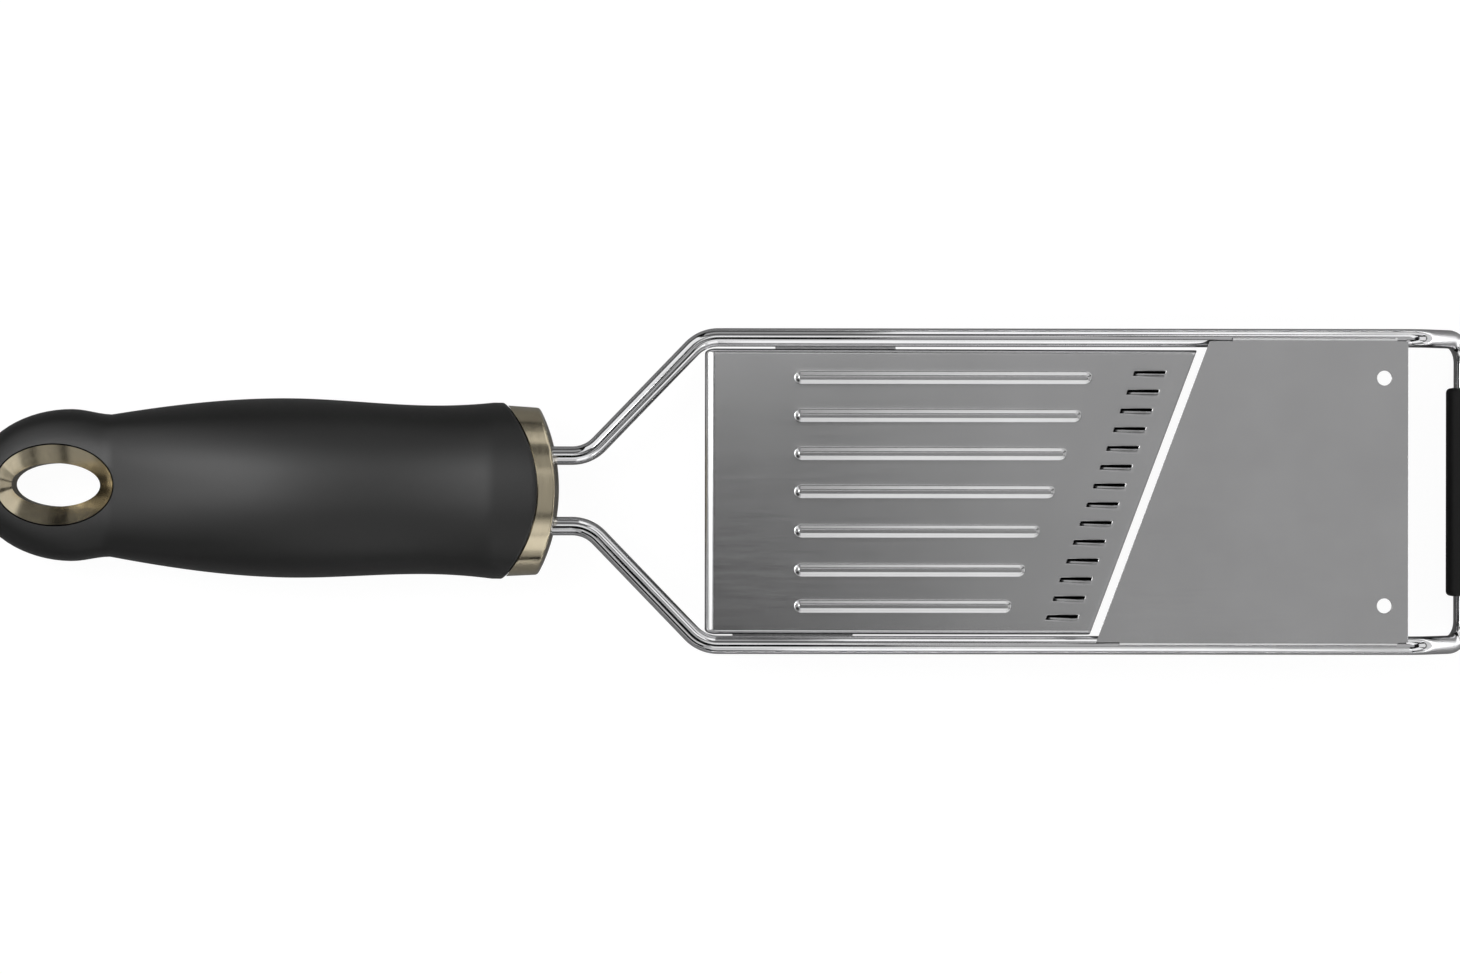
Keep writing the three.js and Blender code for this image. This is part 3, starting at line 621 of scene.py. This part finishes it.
def rubber_foot(material):
    low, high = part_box("rubber_foot")
    size = high - low
    bm = bmesh.new()
    bmesh.ops.create_cube(bm, size=1)
    bmesh.ops.scale(bm, vec=(size.x, FOOT_LENGTH, size.z), verts=bm.verts[:])
    long_edges = [e for e in bm.edges if abs(e.verts[0].co.y - e.verts[1].co.y) > FOOT_LENGTH / 2]
    bmesh.ops.bevel(
        bm,
        geom=long_edges,
        offset=FOOT_CORNER,
        segments=FOOT_CORNER_STEPS,
        profile=0.5,
        affect="EDGES",
        material=-1,
    )
    ends = [f for f in bm.faces if abs(f.normal.y) > SQUARE_ON]
    rims = [e for f in ends for e in f.edges]
    bmesh.ops.bevel(
        bm,
        geom=rims,
        offset=FOOT_END_ROUND,
        segments=FOOT_END_STEPS,
        profile=0.5,
        affect="EDGES",
        material=-1,
    )
    ends = [f for f in bm.faces if abs(f.normal.y) > SQUARE_ON]
    for end in ends:
        grown_in(bm, end, FOOT_END_ROUND / 4)  # a new ring, put in its place below
        for vert in end.verts:
            out = Vector((vert.co.x, 0, vert.co.z)).normalized() * (ROD_RADIUS + FIT_GAP)
            vert.co = Vector((out.x, vert.co.y, out.z))
        inward = -end.normal * FOOT_BORE_DEPTH
        bore = bmesh.ops.extrude_discrete_faces(bm, faces=[end])["faces"]
        bmesh.ops.translate(bm, vec=inward, verts=list(bore[0].verts))
    bmesh.ops.translate(bm, vec=(low + high) / 2, verts=bm.verts[:])
    bmesh.ops.recalc_face_normals(bm, faces=bm.faces[:])
    finished("foot_sleeve", bm, material, "rubber_foot")


# Blade plate

def edge_x(y):
    """Where the cutting edge lies, at a distance from the tool's axis."""
    return BLADE_EDGE_X + BLADE_SLOPE * y


def front_x(y):
    """Where the infeed plate ends."""
    return INFEED_END_X + BLADE_SLOPE * y


def plan_face(bm, outline, z):
    return bm.faces.new([bm.verts.new((x, y, z)) for x, y in outline])


def blade_plate(material):
    bm = bmesh.new()
    outline = [
        (edge_x(-BLADE_Y), -BLADE_Y),
        (BLADE_END_X, -BLADE_Y),
        (BLADE_END_X, BLADE_Y),
        (edge_x(BLADE_Y), BLADE_Y),
    ]
    faces = [plan_face(bm, outline, BLADE_TOP)]
    faces = sliced(bm, faces, (BLADE_EDGE_X + BEVEL_WIDTH, 0, 0), SLANTED)
    for side in (-1, 1):
        faces = sliced(bm, faces, (edge_x(side * BLADE_Y) + LIP_FRONT_SETBACK, 0, 0), ALONG)
    faces = sliced(bm, faces, (BLADE_END_X - LIP_END_SETBACK, 0, 0), ALONG)
    hole_x = BLADE_END_X - PLATE_HOLE_INSET
    bed = PLATE_HOLE_RADIUS + BED_MARGIN
    for x in (hole_x - bed, hole_x + bed):
        faces = sliced(bm, faces, (x, 0, 0), ALONG)
    for side in (-1, 1):
        for y in (PLATE_HOLE_Y - bed, PLATE_HOLE_Y + bed):
            faces = sliced(bm, faces, (0, side * y, 0), ACROSS)
    for side in (-1, 1):
        centre = Vector((hole_x, side * PLATE_HOLE_Y, BLADE_TOP))
        square = min(faces, key=lambda f: (f.calc_center_median() - centre).length)
        round_hole(bm, square, centre)
        faces.remove(square)
    for side in (-1, 1):
        side_lip(bm, side)
    bmesh.ops.recalc_face_normals(bm, faces=bm.faces[:])
    face_up(bm)
    bmesh.ops.solidify(bm, geom=bm.faces[:], thickness=BLADE_SHEET)
    grind_edge(bm)
    piece = finished("blade_sheet", bm, material, "blade_plate")
    soften_edges(piece, BLADE_EDGE_BREAK)


def round_hole(bm, square, centre):
    """Opens a round hole in a square face of the sheet."""
    bmesh.ops.bisect_edges(bm, edges=list(square.edges), cuts=HOLE_POINTS // 4 - 1)
    grown_in(bm, square, BED_MARGIN / 4)  # a new ring, put in its place below
    for vert in square.verts:
        vert.co = centre + (vert.co - centre).normalized() * PLATE_HOLE_RADIUS
    bmesh.ops.delete(bm, geom=[square], context="FACES")


def side_lip(bm, side):
    """Curls the plate's side down over the rail."""
    start = edge_x(side * BLADE_Y) + LIP_FRONT_SETBACK
    end = BLADE_END_X - LIP_END_SETBACK

    def curls(edge):
        on_side = all(abs(v.co.y - side * BLADE_Y) < NEAR for v in edge.verts)
        return on_side and start - NEAR < min(v.co.x for v in edge.verts) < end - NEAR

    edges = [e for e in bm.edges if e.is_boundary and curls(e)]
    bmesh.ops.spin(
        bm,
        geom=edges + list(dict.fromkeys(v for e in edges for v in e.verts)),
        cent=(0, side * BLADE_Y, BLADE_TOP - LIP_RADIUS),
        axis=(1, 0, 0),
        angle=-side * math.pi / 2,
        steps=LIP_STEPS,
    )


def face_up(bm):
    """Turns an open sheet over if its widest face looks down."""
    widest = max(bm.faces, key=lambda f: f.calc_area())
    if widest.normal.z < 0:
        bmesh.ops.reverse_faces(bm, faces=bm.faces[:])


def grind_edge(bm):
    """Thins the sheet from below to the cutting edge."""
    for vert in bm.verts:
        on_edge = abs(vert.co.x - edge_x(vert.co.y)) < NEAR
        if on_edge and vert.co.z < BLADE_TOP - BLADE_SHEET / 2:
            vert.co.z = BLADE_TOP - EDGE_LAND


# Infeed plate

def infeed_plate(material):
    bm = bmesh.new()
    outline = [
        (INFEED_X, -INFEED_Y),
        (front_x(-INFEED_Y) + FRONT_TRIM, -INFEED_Y),
        (front_x(FAR_FRONT_Y) + FRONT_TRIM, FAR_FRONT_Y),
        (INFEED_X, FAR_BACK_Y),
    ]
    top = plan_face(bm, outline, INFEED_TOP)
    rim = list(top.edges)
    skirt = verts_of(bmesh.ops.extrude_edge_only(bm, edges=rim)["geom"])
    bmesh.ops.translate(bm, vec=(0, 0, -SKIRT_DROP), verts=skirt)
    corners = [e for e in bm.edges if abs(e.verts[0].co.z - e.verts[1].co.z) > SKIRT_DROP / 2]
    bmesh.ops.bevel(
        bm,
        geom=rim + corners,
        offset=EDGE_ROLL,
        segments=ROLL_STEPS,
        profile=0.5,
        affect="EDGES",
        material=-1,
    )
    for vert in bm.verts:
        draw_out_end(vert)
    sheet = bm.verts[:] + bm.edges[:] + bm.faces[:]
    front = (INFEED_END_X, 0, 0)
    bmesh.ops.bisect_plane(bm, geom=sheet, plane_co=front, plane_no=SLANTED, clear_outer=True)
    bmesh.ops.recalc_face_normals(bm, faces=bm.faces[:])
    face_up(bm)
    top = max(bm.faces, key=lambda f: f.calc_area())
    press_ribs_and_slots(bm, top)
    rail_flanges(bm)
    face_up(bm)
    piece = finished("infeed_tray", bm, material, "infeed_plate")
    thickness = piece.modifiers.new("sheet", "SOLIDIFY")
    thickness.thickness = INFEED_SHEET
    thickness.offset = -1
    soften_edges(piece, INFEED_EDGE_BREAK)


def draw_out_end(vert):
    """Lengthens the rolls at the plate's two ends, which start out as the ones at its sides."""
    from_back = vert.co.x - INFEED_X
    from_front = (front_x(vert.co.y) + FRONT_TRIM - vert.co.x) / SLANT_STRETCH
    if from_back < EDGE_ROLL + NEAR:
        vert.co.x = INFEED_X + from_back * BACK_ROLL / EDGE_ROLL
    elif from_front < EDGE_ROLL + NEAR:
        vert.co.x -= from_front * (FRONT_ROLL / EDGE_ROLL - 1) * SLANT_STRETCH


def press_ribs_and_slots(bm, top):
    rib_end = INFEED_END_X - RIB_FRONT_SETBACK + BED_MARGIN
    margin = SLOT_CLEARANCE + BED_MARGIN * SLANT_STRETCH
    tooth_front = INFEED_END_X - TOOTH_FRONT_SETBACK + margin
    tooth_back = INFEED_END_X - TOOTH_FRONT_SETBACK - TOOTH_LENGTH - margin
    rib_start = INFEED_X + RIB_START - BED_MARGIN

    def slant(face, slope):
        centre = face.calc_center_median()
        return centre.x - slope * centre.y

    faces = sliced(bm, [top], (rib_end, 0, 0), SLANTED)
    for x in (tooth_back, tooth_front):
        faces = sliced(bm, faces, (x, 0, 0), TOOTH_ROW)
    ribbed = [f for f in faces if slant(f, BLADE_SLOPE) < rib_end]
    slotted = [f for f in faces if tooth_back < slant(f, TOOTH_SLOPE) < tooth_front]
    ribbed = sliced(bm, ribbed, (rib_start, 0, 0), ALONG)
    ribbed = [f for f in ribbed if f.calc_center_median().x > rib_start]

    bm.normal_update()
    half_bed = RIB_WIDTH / 2 + BED_MARGIN
    for y, _ in RIBS:
        for line in (y - half_bed, y + half_bed):
            ribbed = sliced(bm, ribbed, (0, line, 0), ACROSS)
    bm.normal_update()
    for y, short in RIBS:
        bed = min(ribbed, key=lambda f: abs(f.calc_center_median().y - y))
        press_rib(bm, bed, short)

    half_bed = SLOT_HALF_WIDTH + BED_MARGIN
    for y in TOOTH_PLACES:
        for line in (y - half_bed, y + half_bed):
            slotted = sliced(bm, slotted, (0, line, 0), ACROSS)
    bm.normal_update()
    for y in TOOTH_PLACES:
        bed = min(slotted, key=lambda f: abs(f.calc_center_median().y - y))
        slotted.remove(bed)
        cut_slot(bm, bed)


def press_rib(bm, bed, short):
    """Raises a round-ended rib from its flat bed, its front end short of the bed's by a length."""
    grown_in(bm, bed, BED_MARGIN)
    radius = RIB_WIDTH / 2
    ends = [e for e in bed.edges if abs(e.verts[0].co.y - e.verts[1].co.y) > radius]
    middle = bed.calc_center_median()
    for end in ends:
        outward = 1 if end.verts[0].co.x > middle.x else -1
        end_x = (end.verts[0].co.x + end.verts[1].co.x) / 2 - outward * radius
        if outward > 0:
            end_x -= short
        for vert in end.verts:
            vert.co.x = end_x
        made = bmesh.ops.bisect_edges(bm, edges=[end], cuts=RIB_END_CUTS)
        for vert in verts_of(made["geom_split"]):
            share = min(abs(vert.co.y - middle.y) / radius, 1)
            vert.co.x += outward * radius * math.sqrt(1 - share * share)
    along = sorted(vert.co.x for vert in bed.verts)
    first, last = along[0] + radius, along[-1] - radius
    for k in range(1, RIB_STEPS + 1):
        grown_in(bm, bed, RIB_FLANK / RIB_STEPS / 10)  # a new ring, put in its place below
        reach = radius - RIB_FLANK * k / RIB_STEPS
        rise = RIB_RISE * math.sin(math.pi / 2 * k / RIB_STEPS) ** 2
        for vert in bed.verts:
            anchor = Vector((min(max(vert.co.x, first), last), middle.y, INFEED_TOP))
            outward = vert.co - anchor
            outward.z = 0
            vert.co = anchor + outward.normalized() * reach
            vert.co.z = INFEED_TOP + rise


def cut_slot(bm, bed):
    """Opens a slot for a tooth, its edges drawn down a little."""
    grown_in(bm, bed, BED_MARGIN - SLOT_ROUND)
    grown_in(bm, bed, SLOT_ROUND, -SLOT_ROUND / 2)
    bmesh.ops.delete(bm, geom=[bed], context="FACES")


def rail_flanges(bm):
    """Tabs that turn out from the skirt and run under the rails."""
    rail_flange(bm, -1, INFEED_X + NEAR_FLANGE_START)
    rail_flange(bm, 1, INFEED_X + FAR_FLANGE_START)


def rail_flange(bm, side, start):
    end = start + FLANGE_LENGTH
    bottom = INFEED_TOP - SKIRT_DROP
    wall = [f for f in bm.faces if f.normal.y * side > SQUARE_ON]
    for x in (start, end):
        wall = sliced(bm, wall, (x, 0, 0), ALONG)

    def under(edge):
        low = all(abs(v.co.z - bottom) < NEAR for v in edge.verts)
        middle = (edge.verts[0].co + edge.verts[1].co) / 2
        return low and middle.y * side > 0 and start < middle.x < end

    edges = [e for e in bm.edges if e.is_boundary and under(e)]
    for vert in verts_of(bmesh.ops.extrude_edge_only(bm, edges=edges)["geom"]):
        vert.co.y = side * (RAIL_Y + FLANGE_OVERHANG)


# Julienne comb

def julienne_comb(material):
    bm = bmesh.new()
    half = TOOTH_LENGTH / 2
    middle = INFEED_END_X - TOOTH_FRONT_SETBACK - half
    reach = half + COMB_BORDER
    low, high = TOOTH_PLACES[0] - COMB_BORDER, TOOTH_PLACES[-1] + COMB_BORDER
    outline = [
        (middle + TOOTH_SLOPE * low - reach, low),
        (middle + TOOTH_SLOPE * low + reach, low),
        (middle + TOOTH_SLOPE * high + reach, high),
        (middle + TOOTH_SLOPE * high - reach, high),
    ]
    strip = plan_face(bm, outline, COMB_TOP)
    bmesh.ops.solidify(bm, geom=[strip], thickness=COMB_SHEET)
    for y in TOOTH_PLACES:
        tooth(bm, middle + TOOTH_SLOPE * y, y + TOOTH_SHIFT)
    bmesh.ops.recalc_face_normals(bm, faces=bm.faces[:])
    piece = finished("tooth_comb", bm, material, "julienne_comb")
    soften_edges(piece, COMB_EDGE_BREAK)


def tooth(bm, x, y):
    """An upright fin whose slope is ground to a thin crest."""
    half = TOOTH_LENGTH / 2
    low = COMB_TOP - COMB_SHEET / 2
    profile = [
        (x - half, low),
        (x + half, low),
        (x + half, TOOTH_TOP),
        (x + half - TOOTH_CREST, TOOTH_TOP),
        (x - half, COMB_TOP),
    ]
    side = y - TOOTH_THICKNESS / 2
    face = bm.faces.new([bm.verts.new((px, side, pz)) for px, pz in profile])
    made = bmesh.ops.extrude_face_region(bm, geom=[face])["geom"]
    bmesh.ops.translate(bm, vec=(0, TOOTH_THICKNESS, 0), verts=verts_of(made))
    for vert in {*face.verts, *verts_of(made)}:
        if vert.co.z > TOOTH_TOP - SAME:
            vert.co.y = side + (vert.co.y - side) * TOOTH_GROUND


# Finishes

class Finish:
    """A material whose shader takes set values on its own sockets and patterns from its nodes."""

    def __init__(self, name, **sockets):
        self.material = bpy.data.materials.new(name)
        self.material.use_nodes = True
        self.tree = self.material.node_tree
        self.shader = self.tree.nodes["Principled BSDF"]
        for socket, value in sockets.items():
            self.shader.inputs[socket.replace("_", " ")].default_value = value
        self.place = self.tree.nodes.new("ShaderNodeTexCoord").outputs["Object"]

    def link(self, source, target):
        self.tree.links.new(source, target)

    def noise(self, scale, detail=4.0, roughness=0.55, stretch=(1, 1, 1)):
        mapping = self.tree.nodes.new("ShaderNodeMapping")
        mapping.inputs["Scale"].default_value = stretch
        self.link(self.place, mapping.inputs["Vector"])
        noise = self.tree.nodes.new("ShaderNodeTexNoise")
        noise.inputs["Scale"].default_value = scale
        noise.inputs["Detail"].default_value = detail
        noise.inputs["Roughness"].default_value = roughness
        self.link(mapping.outputs["Vector"], noise.inputs["Vector"])
        return noise.outputs["Fac"]

    def between(self, pattern, low, high, start=0.3, end=0.7):
        spread = self.tree.nodes.new("ShaderNodeMapRange")
        for socket, value in zip(("From Min", "From Max", "To Min", "To Max"), (start, end, low, high)):
            spread.inputs[socket].default_value = value
        self.link(pattern, spread.inputs["Value"])
        return spread.outputs["Result"]

    def shades(self, pattern, dark, light, start=0.3, end=0.7):
        ramp = self.tree.nodes.new("ShaderNodeValToRGB")
        ramp.color_ramp.elements[0].position = start
        ramp.color_ramp.elements[0].color = (*dark, 1)
        ramp.color_ramp.elements[1].position = end
        ramp.color_ramp.elements[1].color = (*light, 1)
        self.link(pattern, ramp.inputs["Fac"])
        return ramp.outputs["Color"]

    def color(self, output):
        self.link(output, self.shader.inputs["Base Color"])

    def roughness(self, output):
        self.link(output, self.shader.inputs["Roughness"])

    def bump(self, pattern, strength, distance):
        bump = self.tree.nodes.new("ShaderNodeBump")
        bump.inputs["Strength"].default_value = strength
        bump.inputs["Distance"].default_value = distance
        self.link(pattern, bump.inputs["Height"])
        self.link(bump.outputs["Normal"], self.shader.inputs["Normal"])


def polished_rod():
    finish = Finish("polished_rod", Metallic=1.0)
    grain = finish.noise(500, stretch=(0.15, 1, 1))
    finish.color(finish.shades(grain, (0.70, 0.70, 0.71), (0.78, 0.78, 0.79)))
    finish.roughness(finish.between(grain, 0.05, 0.11))
    finish.bump(finish.noise(1400, stretch=(0.1, 1, 1)), 0.05, 0.00002)
    return finish.material


def satin_sheet():
    finish = Finish("satin_sheet", Metallic=1.0)
    grain = finish.noise(1600, detail=6, stretch=(0.06, 1, 1))
    blotches = finish.noise(55, detail=3)
    finish.color(finish.shades(blotches, (0.585, 0.585, 0.59), (0.625, 0.625, 0.63)))
    finish.roughness(finish.between(grain, 0.19, 0.22))
    return finish.material


def champagne_trim():
    finish = Finish("champagne_trim", Metallic=1.0)
    grain = finish.noise(900, stretch=(1, 0.2, 1))
    finish.color(finish.shades(grain, (0.54, 0.475, 0.345), (0.60, 0.53, 0.385)))
    finish.roughness(finish.between(grain, 0.15, 0.20))
    finish.bump(finish.noise(2600), 0.04, 0.00001)
    return finish.material


def soft_grip():
    finish = Finish("soft_grip", Metallic=0.0, Specular_IOR_Level=0.625)
    pores = finish.noise(3200, detail=3)
    rubbed = finish.noise(60, detail=4)
    finish.color(finish.shades(rubbed, (0.0045, 0.0045, 0.0044), (0.0065, 0.0065, 0.0064)))
    finish.roughness(finish.between(pores, 0.41, 0.46))
    finish.bump(pores, 0.25, 0.00004)
    return finish.material


def foot_rubber():
    finish = Finish("foot_rubber", Metallic=0.0, Specular_IOR_Level=0.25)
    pores = finish.noise(2600, detail=3)
    finish.color(finish.shades(pores, (0.007, 0.007, 0.007), (0.012, 0.012, 0.012)))
    finish.roughness(finish.between(pores, 0.5, 0.65))
    finish.bump(pores, 0.3, 0.00004)
    return finish.material


def core_plastic():
    finish = Finish("core_plastic", Metallic=0.0)
    grain = finish.noise(1800)
    finish.color(finish.shades(grain, (0.19, 0.19, 0.19), (0.21, 0.21, 0.21)))
    finish.roughness(finish.between(grain, 0.45, 0.6))
    return finish.material


# Stage

FLOOR_HALF_WIDTH = 3
FLOOR_SEEN = 0.95  # its glow for the camera
FLOOR_MIRRORED = 0.3  # its colour in metal
FLOOR_MATT = 0.1  # its colour for the light that it throws back


def floor():
    """A white floor for the camera, grey in metal and clear things, that keeps a faint shadow."""
    bm = bmesh.new()
    bmesh.ops.create_grid(bm, x_segments=1, y_segments=1, size=FLOOR_HALF_WIDTH)
    ground = loose_object("floor", bm)
    material = bpy.data.materials.new("white_floor")
    material.use_nodes = True
    tree = material.node_tree
    tree.nodes.clear()
    path = tree.nodes.new("ShaderNodeLightPath")
    mirrored = tree.nodes.new("ShaderNodeMath")
    mirrored.operation = "MAXIMUM"
    shade = tree.nodes.new("ShaderNodeMath")
    shade.operation = "MULTIPLY_ADD"
    shade.inputs[1].default_value = FLOOR_MIRRORED - FLOOR_MATT
    shade.inputs[2].default_value = FLOOR_MATT
    level = tree.nodes.new("ShaderNodeMath")
    level.operation = "MULTIPLY"
    level.inputs[1].default_value = FLOOR_SEEN
    glow = tree.nodes.new("ShaderNodeEmission")
    matt = tree.nodes.new("ShaderNodeBsdfDiffuse")
    both = tree.nodes.new("ShaderNodeAddShader")
    output = tree.nodes.new("ShaderNodeOutputMaterial")
    for source, target in [
        (path.outputs["Is Glossy Ray"], mirrored.inputs[0]),
        (path.outputs["Is Transmission Ray"], mirrored.inputs[1]),
        (mirrored.outputs["Value"], shade.inputs[0]),
        (shade.outputs["Value"], matt.inputs["Color"]),
        (path.outputs["Is Camera Ray"], level.inputs[0]),
        (level.outputs["Value"], glow.inputs["Strength"]),
        (glow.outputs["Emission"], both.inputs[0]),
        (matt.outputs["BSDF"], both.inputs[1]),
        (both.outputs["Shader"], output.inputs["Surface"]),
    ]:
        tree.links.new(source, target)
    ground.data.materials.append(material)


def softbox(name, place, direction, width, height, radiance):
    """A square-edged panel of even brightness."""
    lamp = bpy.data.lights.new(name, "AREA")
    lamp.shape = "RECTANGLE"
    lamp.size = width
    lamp.size_y = height
    lamp.energy = math.pi * width * height * radiance
    panel = bpy.data.objects.new(name, lamp)
    panel.location = place
    panel.rotation_euler = direction.to_track_quat("-Z", "Y").to_euler()
    bpy.context.scene.collection.objects.link(panel)
    return lamp


# Lamps. Each has its name, its place, its two sizes and its strength. The strengths were fitted to the
# photograph's light, and then rounded and changed.
OVERHEADS = [  # look straight down
    ("overhead_main", (0.5, 0, 1.6), 0.8, 1.0, 0.45),
    ("overhead_rear", (0, 0.29, 1.6), 0.24, 0.42, 0.9),
    ("overhead_grip", (-0.235, 0.0775, 0.395), 0.23, 0.125, 5.7),
    ("overhead_belly", (-0.1775, -0.0465, 0.395), 0.115, 0.123, 1.3),
]
SIDE_PANELS = [  # face the tool's axis squarely, each at its own place along it
    ("front_high", (0.11, -0.33, 0.54), 0.34, 0.2, 0.6),
    ("front_head", (0.16, -0.54, 0.29), 0.3, 0.42, 0.78),
    ("front_neck", (-0.045, -0.54, 0.29), 0.11, 0.42, 0.2),
    ("front_eye", (-0.21, -0.5, 0.16), 0.12, 0.14, 0.34),
    ("rear_right", (0.4185, 0.55, 0.27), 0.743, 0.36, 0.85),
]
TIP_PANEL = ("tip_low", (0.75, 0, 0.12), 1.3, 0.24, 0.75)
POOLS = [  # look straight down on patches of floor beside the tool
    ("pool_front", (0.08, -0.29, 0.35), 0.22, 0.32, 4.5),
    ("pool_rear", (0.13, 0.29, 0.35), 0.14, 0.32, 7.0),
    ("pool_tip", (0.46, 0, 0.35), 0.44, 0.9, 14.0),
]
POOL_SPREAD = math.radians(30)
DOME_RADIUS = 0.85
DOME = {  # angle above the floor: the panels' width and height, and their strength at each compass angle
    70: (0.30, 0.24, {90: 0.4, 180: 0.4}),
    52: (0.45, 0.30, {45: 1.1, 90: 0.1, 135: 1.0, 180: 0.85, 225: 0.6, 270: 0.4}),
    32: (0.50, 0.30, {0: 0.9, 90: 0.4, 135: 1.1, 180: 0.37, 270: 0.5, 315: 1.1}),
    12: (0.50, 0.28, {90: 0.1, 135: 0.12, 180: 0.7, 225: 0.37, 315: 0.3}),
}
ROOM_GLOW = 0.01


def lights():
    down = Vector((0, 0, -1))
    for name, place, *panel in OVERHEADS:
        softbox(name, Vector(place), down, *panel)
    for name, place, *panel in SIDE_PANELS:
        place = Vector(place)
        softbox(name, place, Vector((place.x, 0, ROD_Z)) - place, *panel)
    name, place, *panel = TIP_PANEL
    aimed(name, Vector(place), *panel)
    for name, place, *panel in POOLS:
        softbox(name, Vector(place), down, *panel).spread = POOL_SPREAD
    for rise, (width, height, strengths) in DOME.items():
        for turn, radiance in strengths.items():
            up, around = math.radians(rise), math.radians(turn)
            place = Vector((math.cos(up) * math.cos(around), math.cos(up) * math.sin(around), math.sin(up)))
            aimed(f"dome_{rise}_{turn}", place * DOME_RADIUS, width, height, radiance)
    world = bpy.data.worlds.new("room")
    world.use_nodes = True
    background = world.node_tree.nodes["Background"]
    background.inputs["Color"].default_value = (1, 1, 1, 1)
    background.inputs["Strength"].default_value = ROOM_GLOW
    bpy.context.scene.world = world


def aimed(name, place, width, height, radiance):
    """A softbox that faces the tool's middle."""
    softbox(name, place, Vector((0, 0, ROD_Z)) - place, width, height, radiance)


def camera():
    eye = bpy.data.cameras.new("camera")
    eye.sensor_fit = "HORIZONTAL"
    eye.sensor_width = SENSOR_WIDTH
    eye.lens = SENSOR_WIDTH * CAMERA_HEIGHT / (IMAGE_WIDTH * PIXEL_SIZE)
    stand = bpy.data.objects.new("camera", eye)
    stand.location = (0, CAMERA_Y, ROD_Z + CAMERA_HEIGHT)
    stand.rotation_euler = (0, 0, CAMERA_ROLL)
    bpy.context.scene.collection.objects.link(stand)
    bpy.context.scene.camera = stand


steel = satin_sheet()
trim = champagne_trim()
wire_frame(polished_rod())
grip(soft_grip())
hang_eyelet(trim)
front_bolster(trim)
rubber_foot(foot_rubber())
blade_plate(steel)
infeed_plate(steel)
julienne_comb(steel)
handle_cores(core_plastic())
floor()
lights()
camera()
bpy.context.scene.view_settings.view_transform = "Standard"
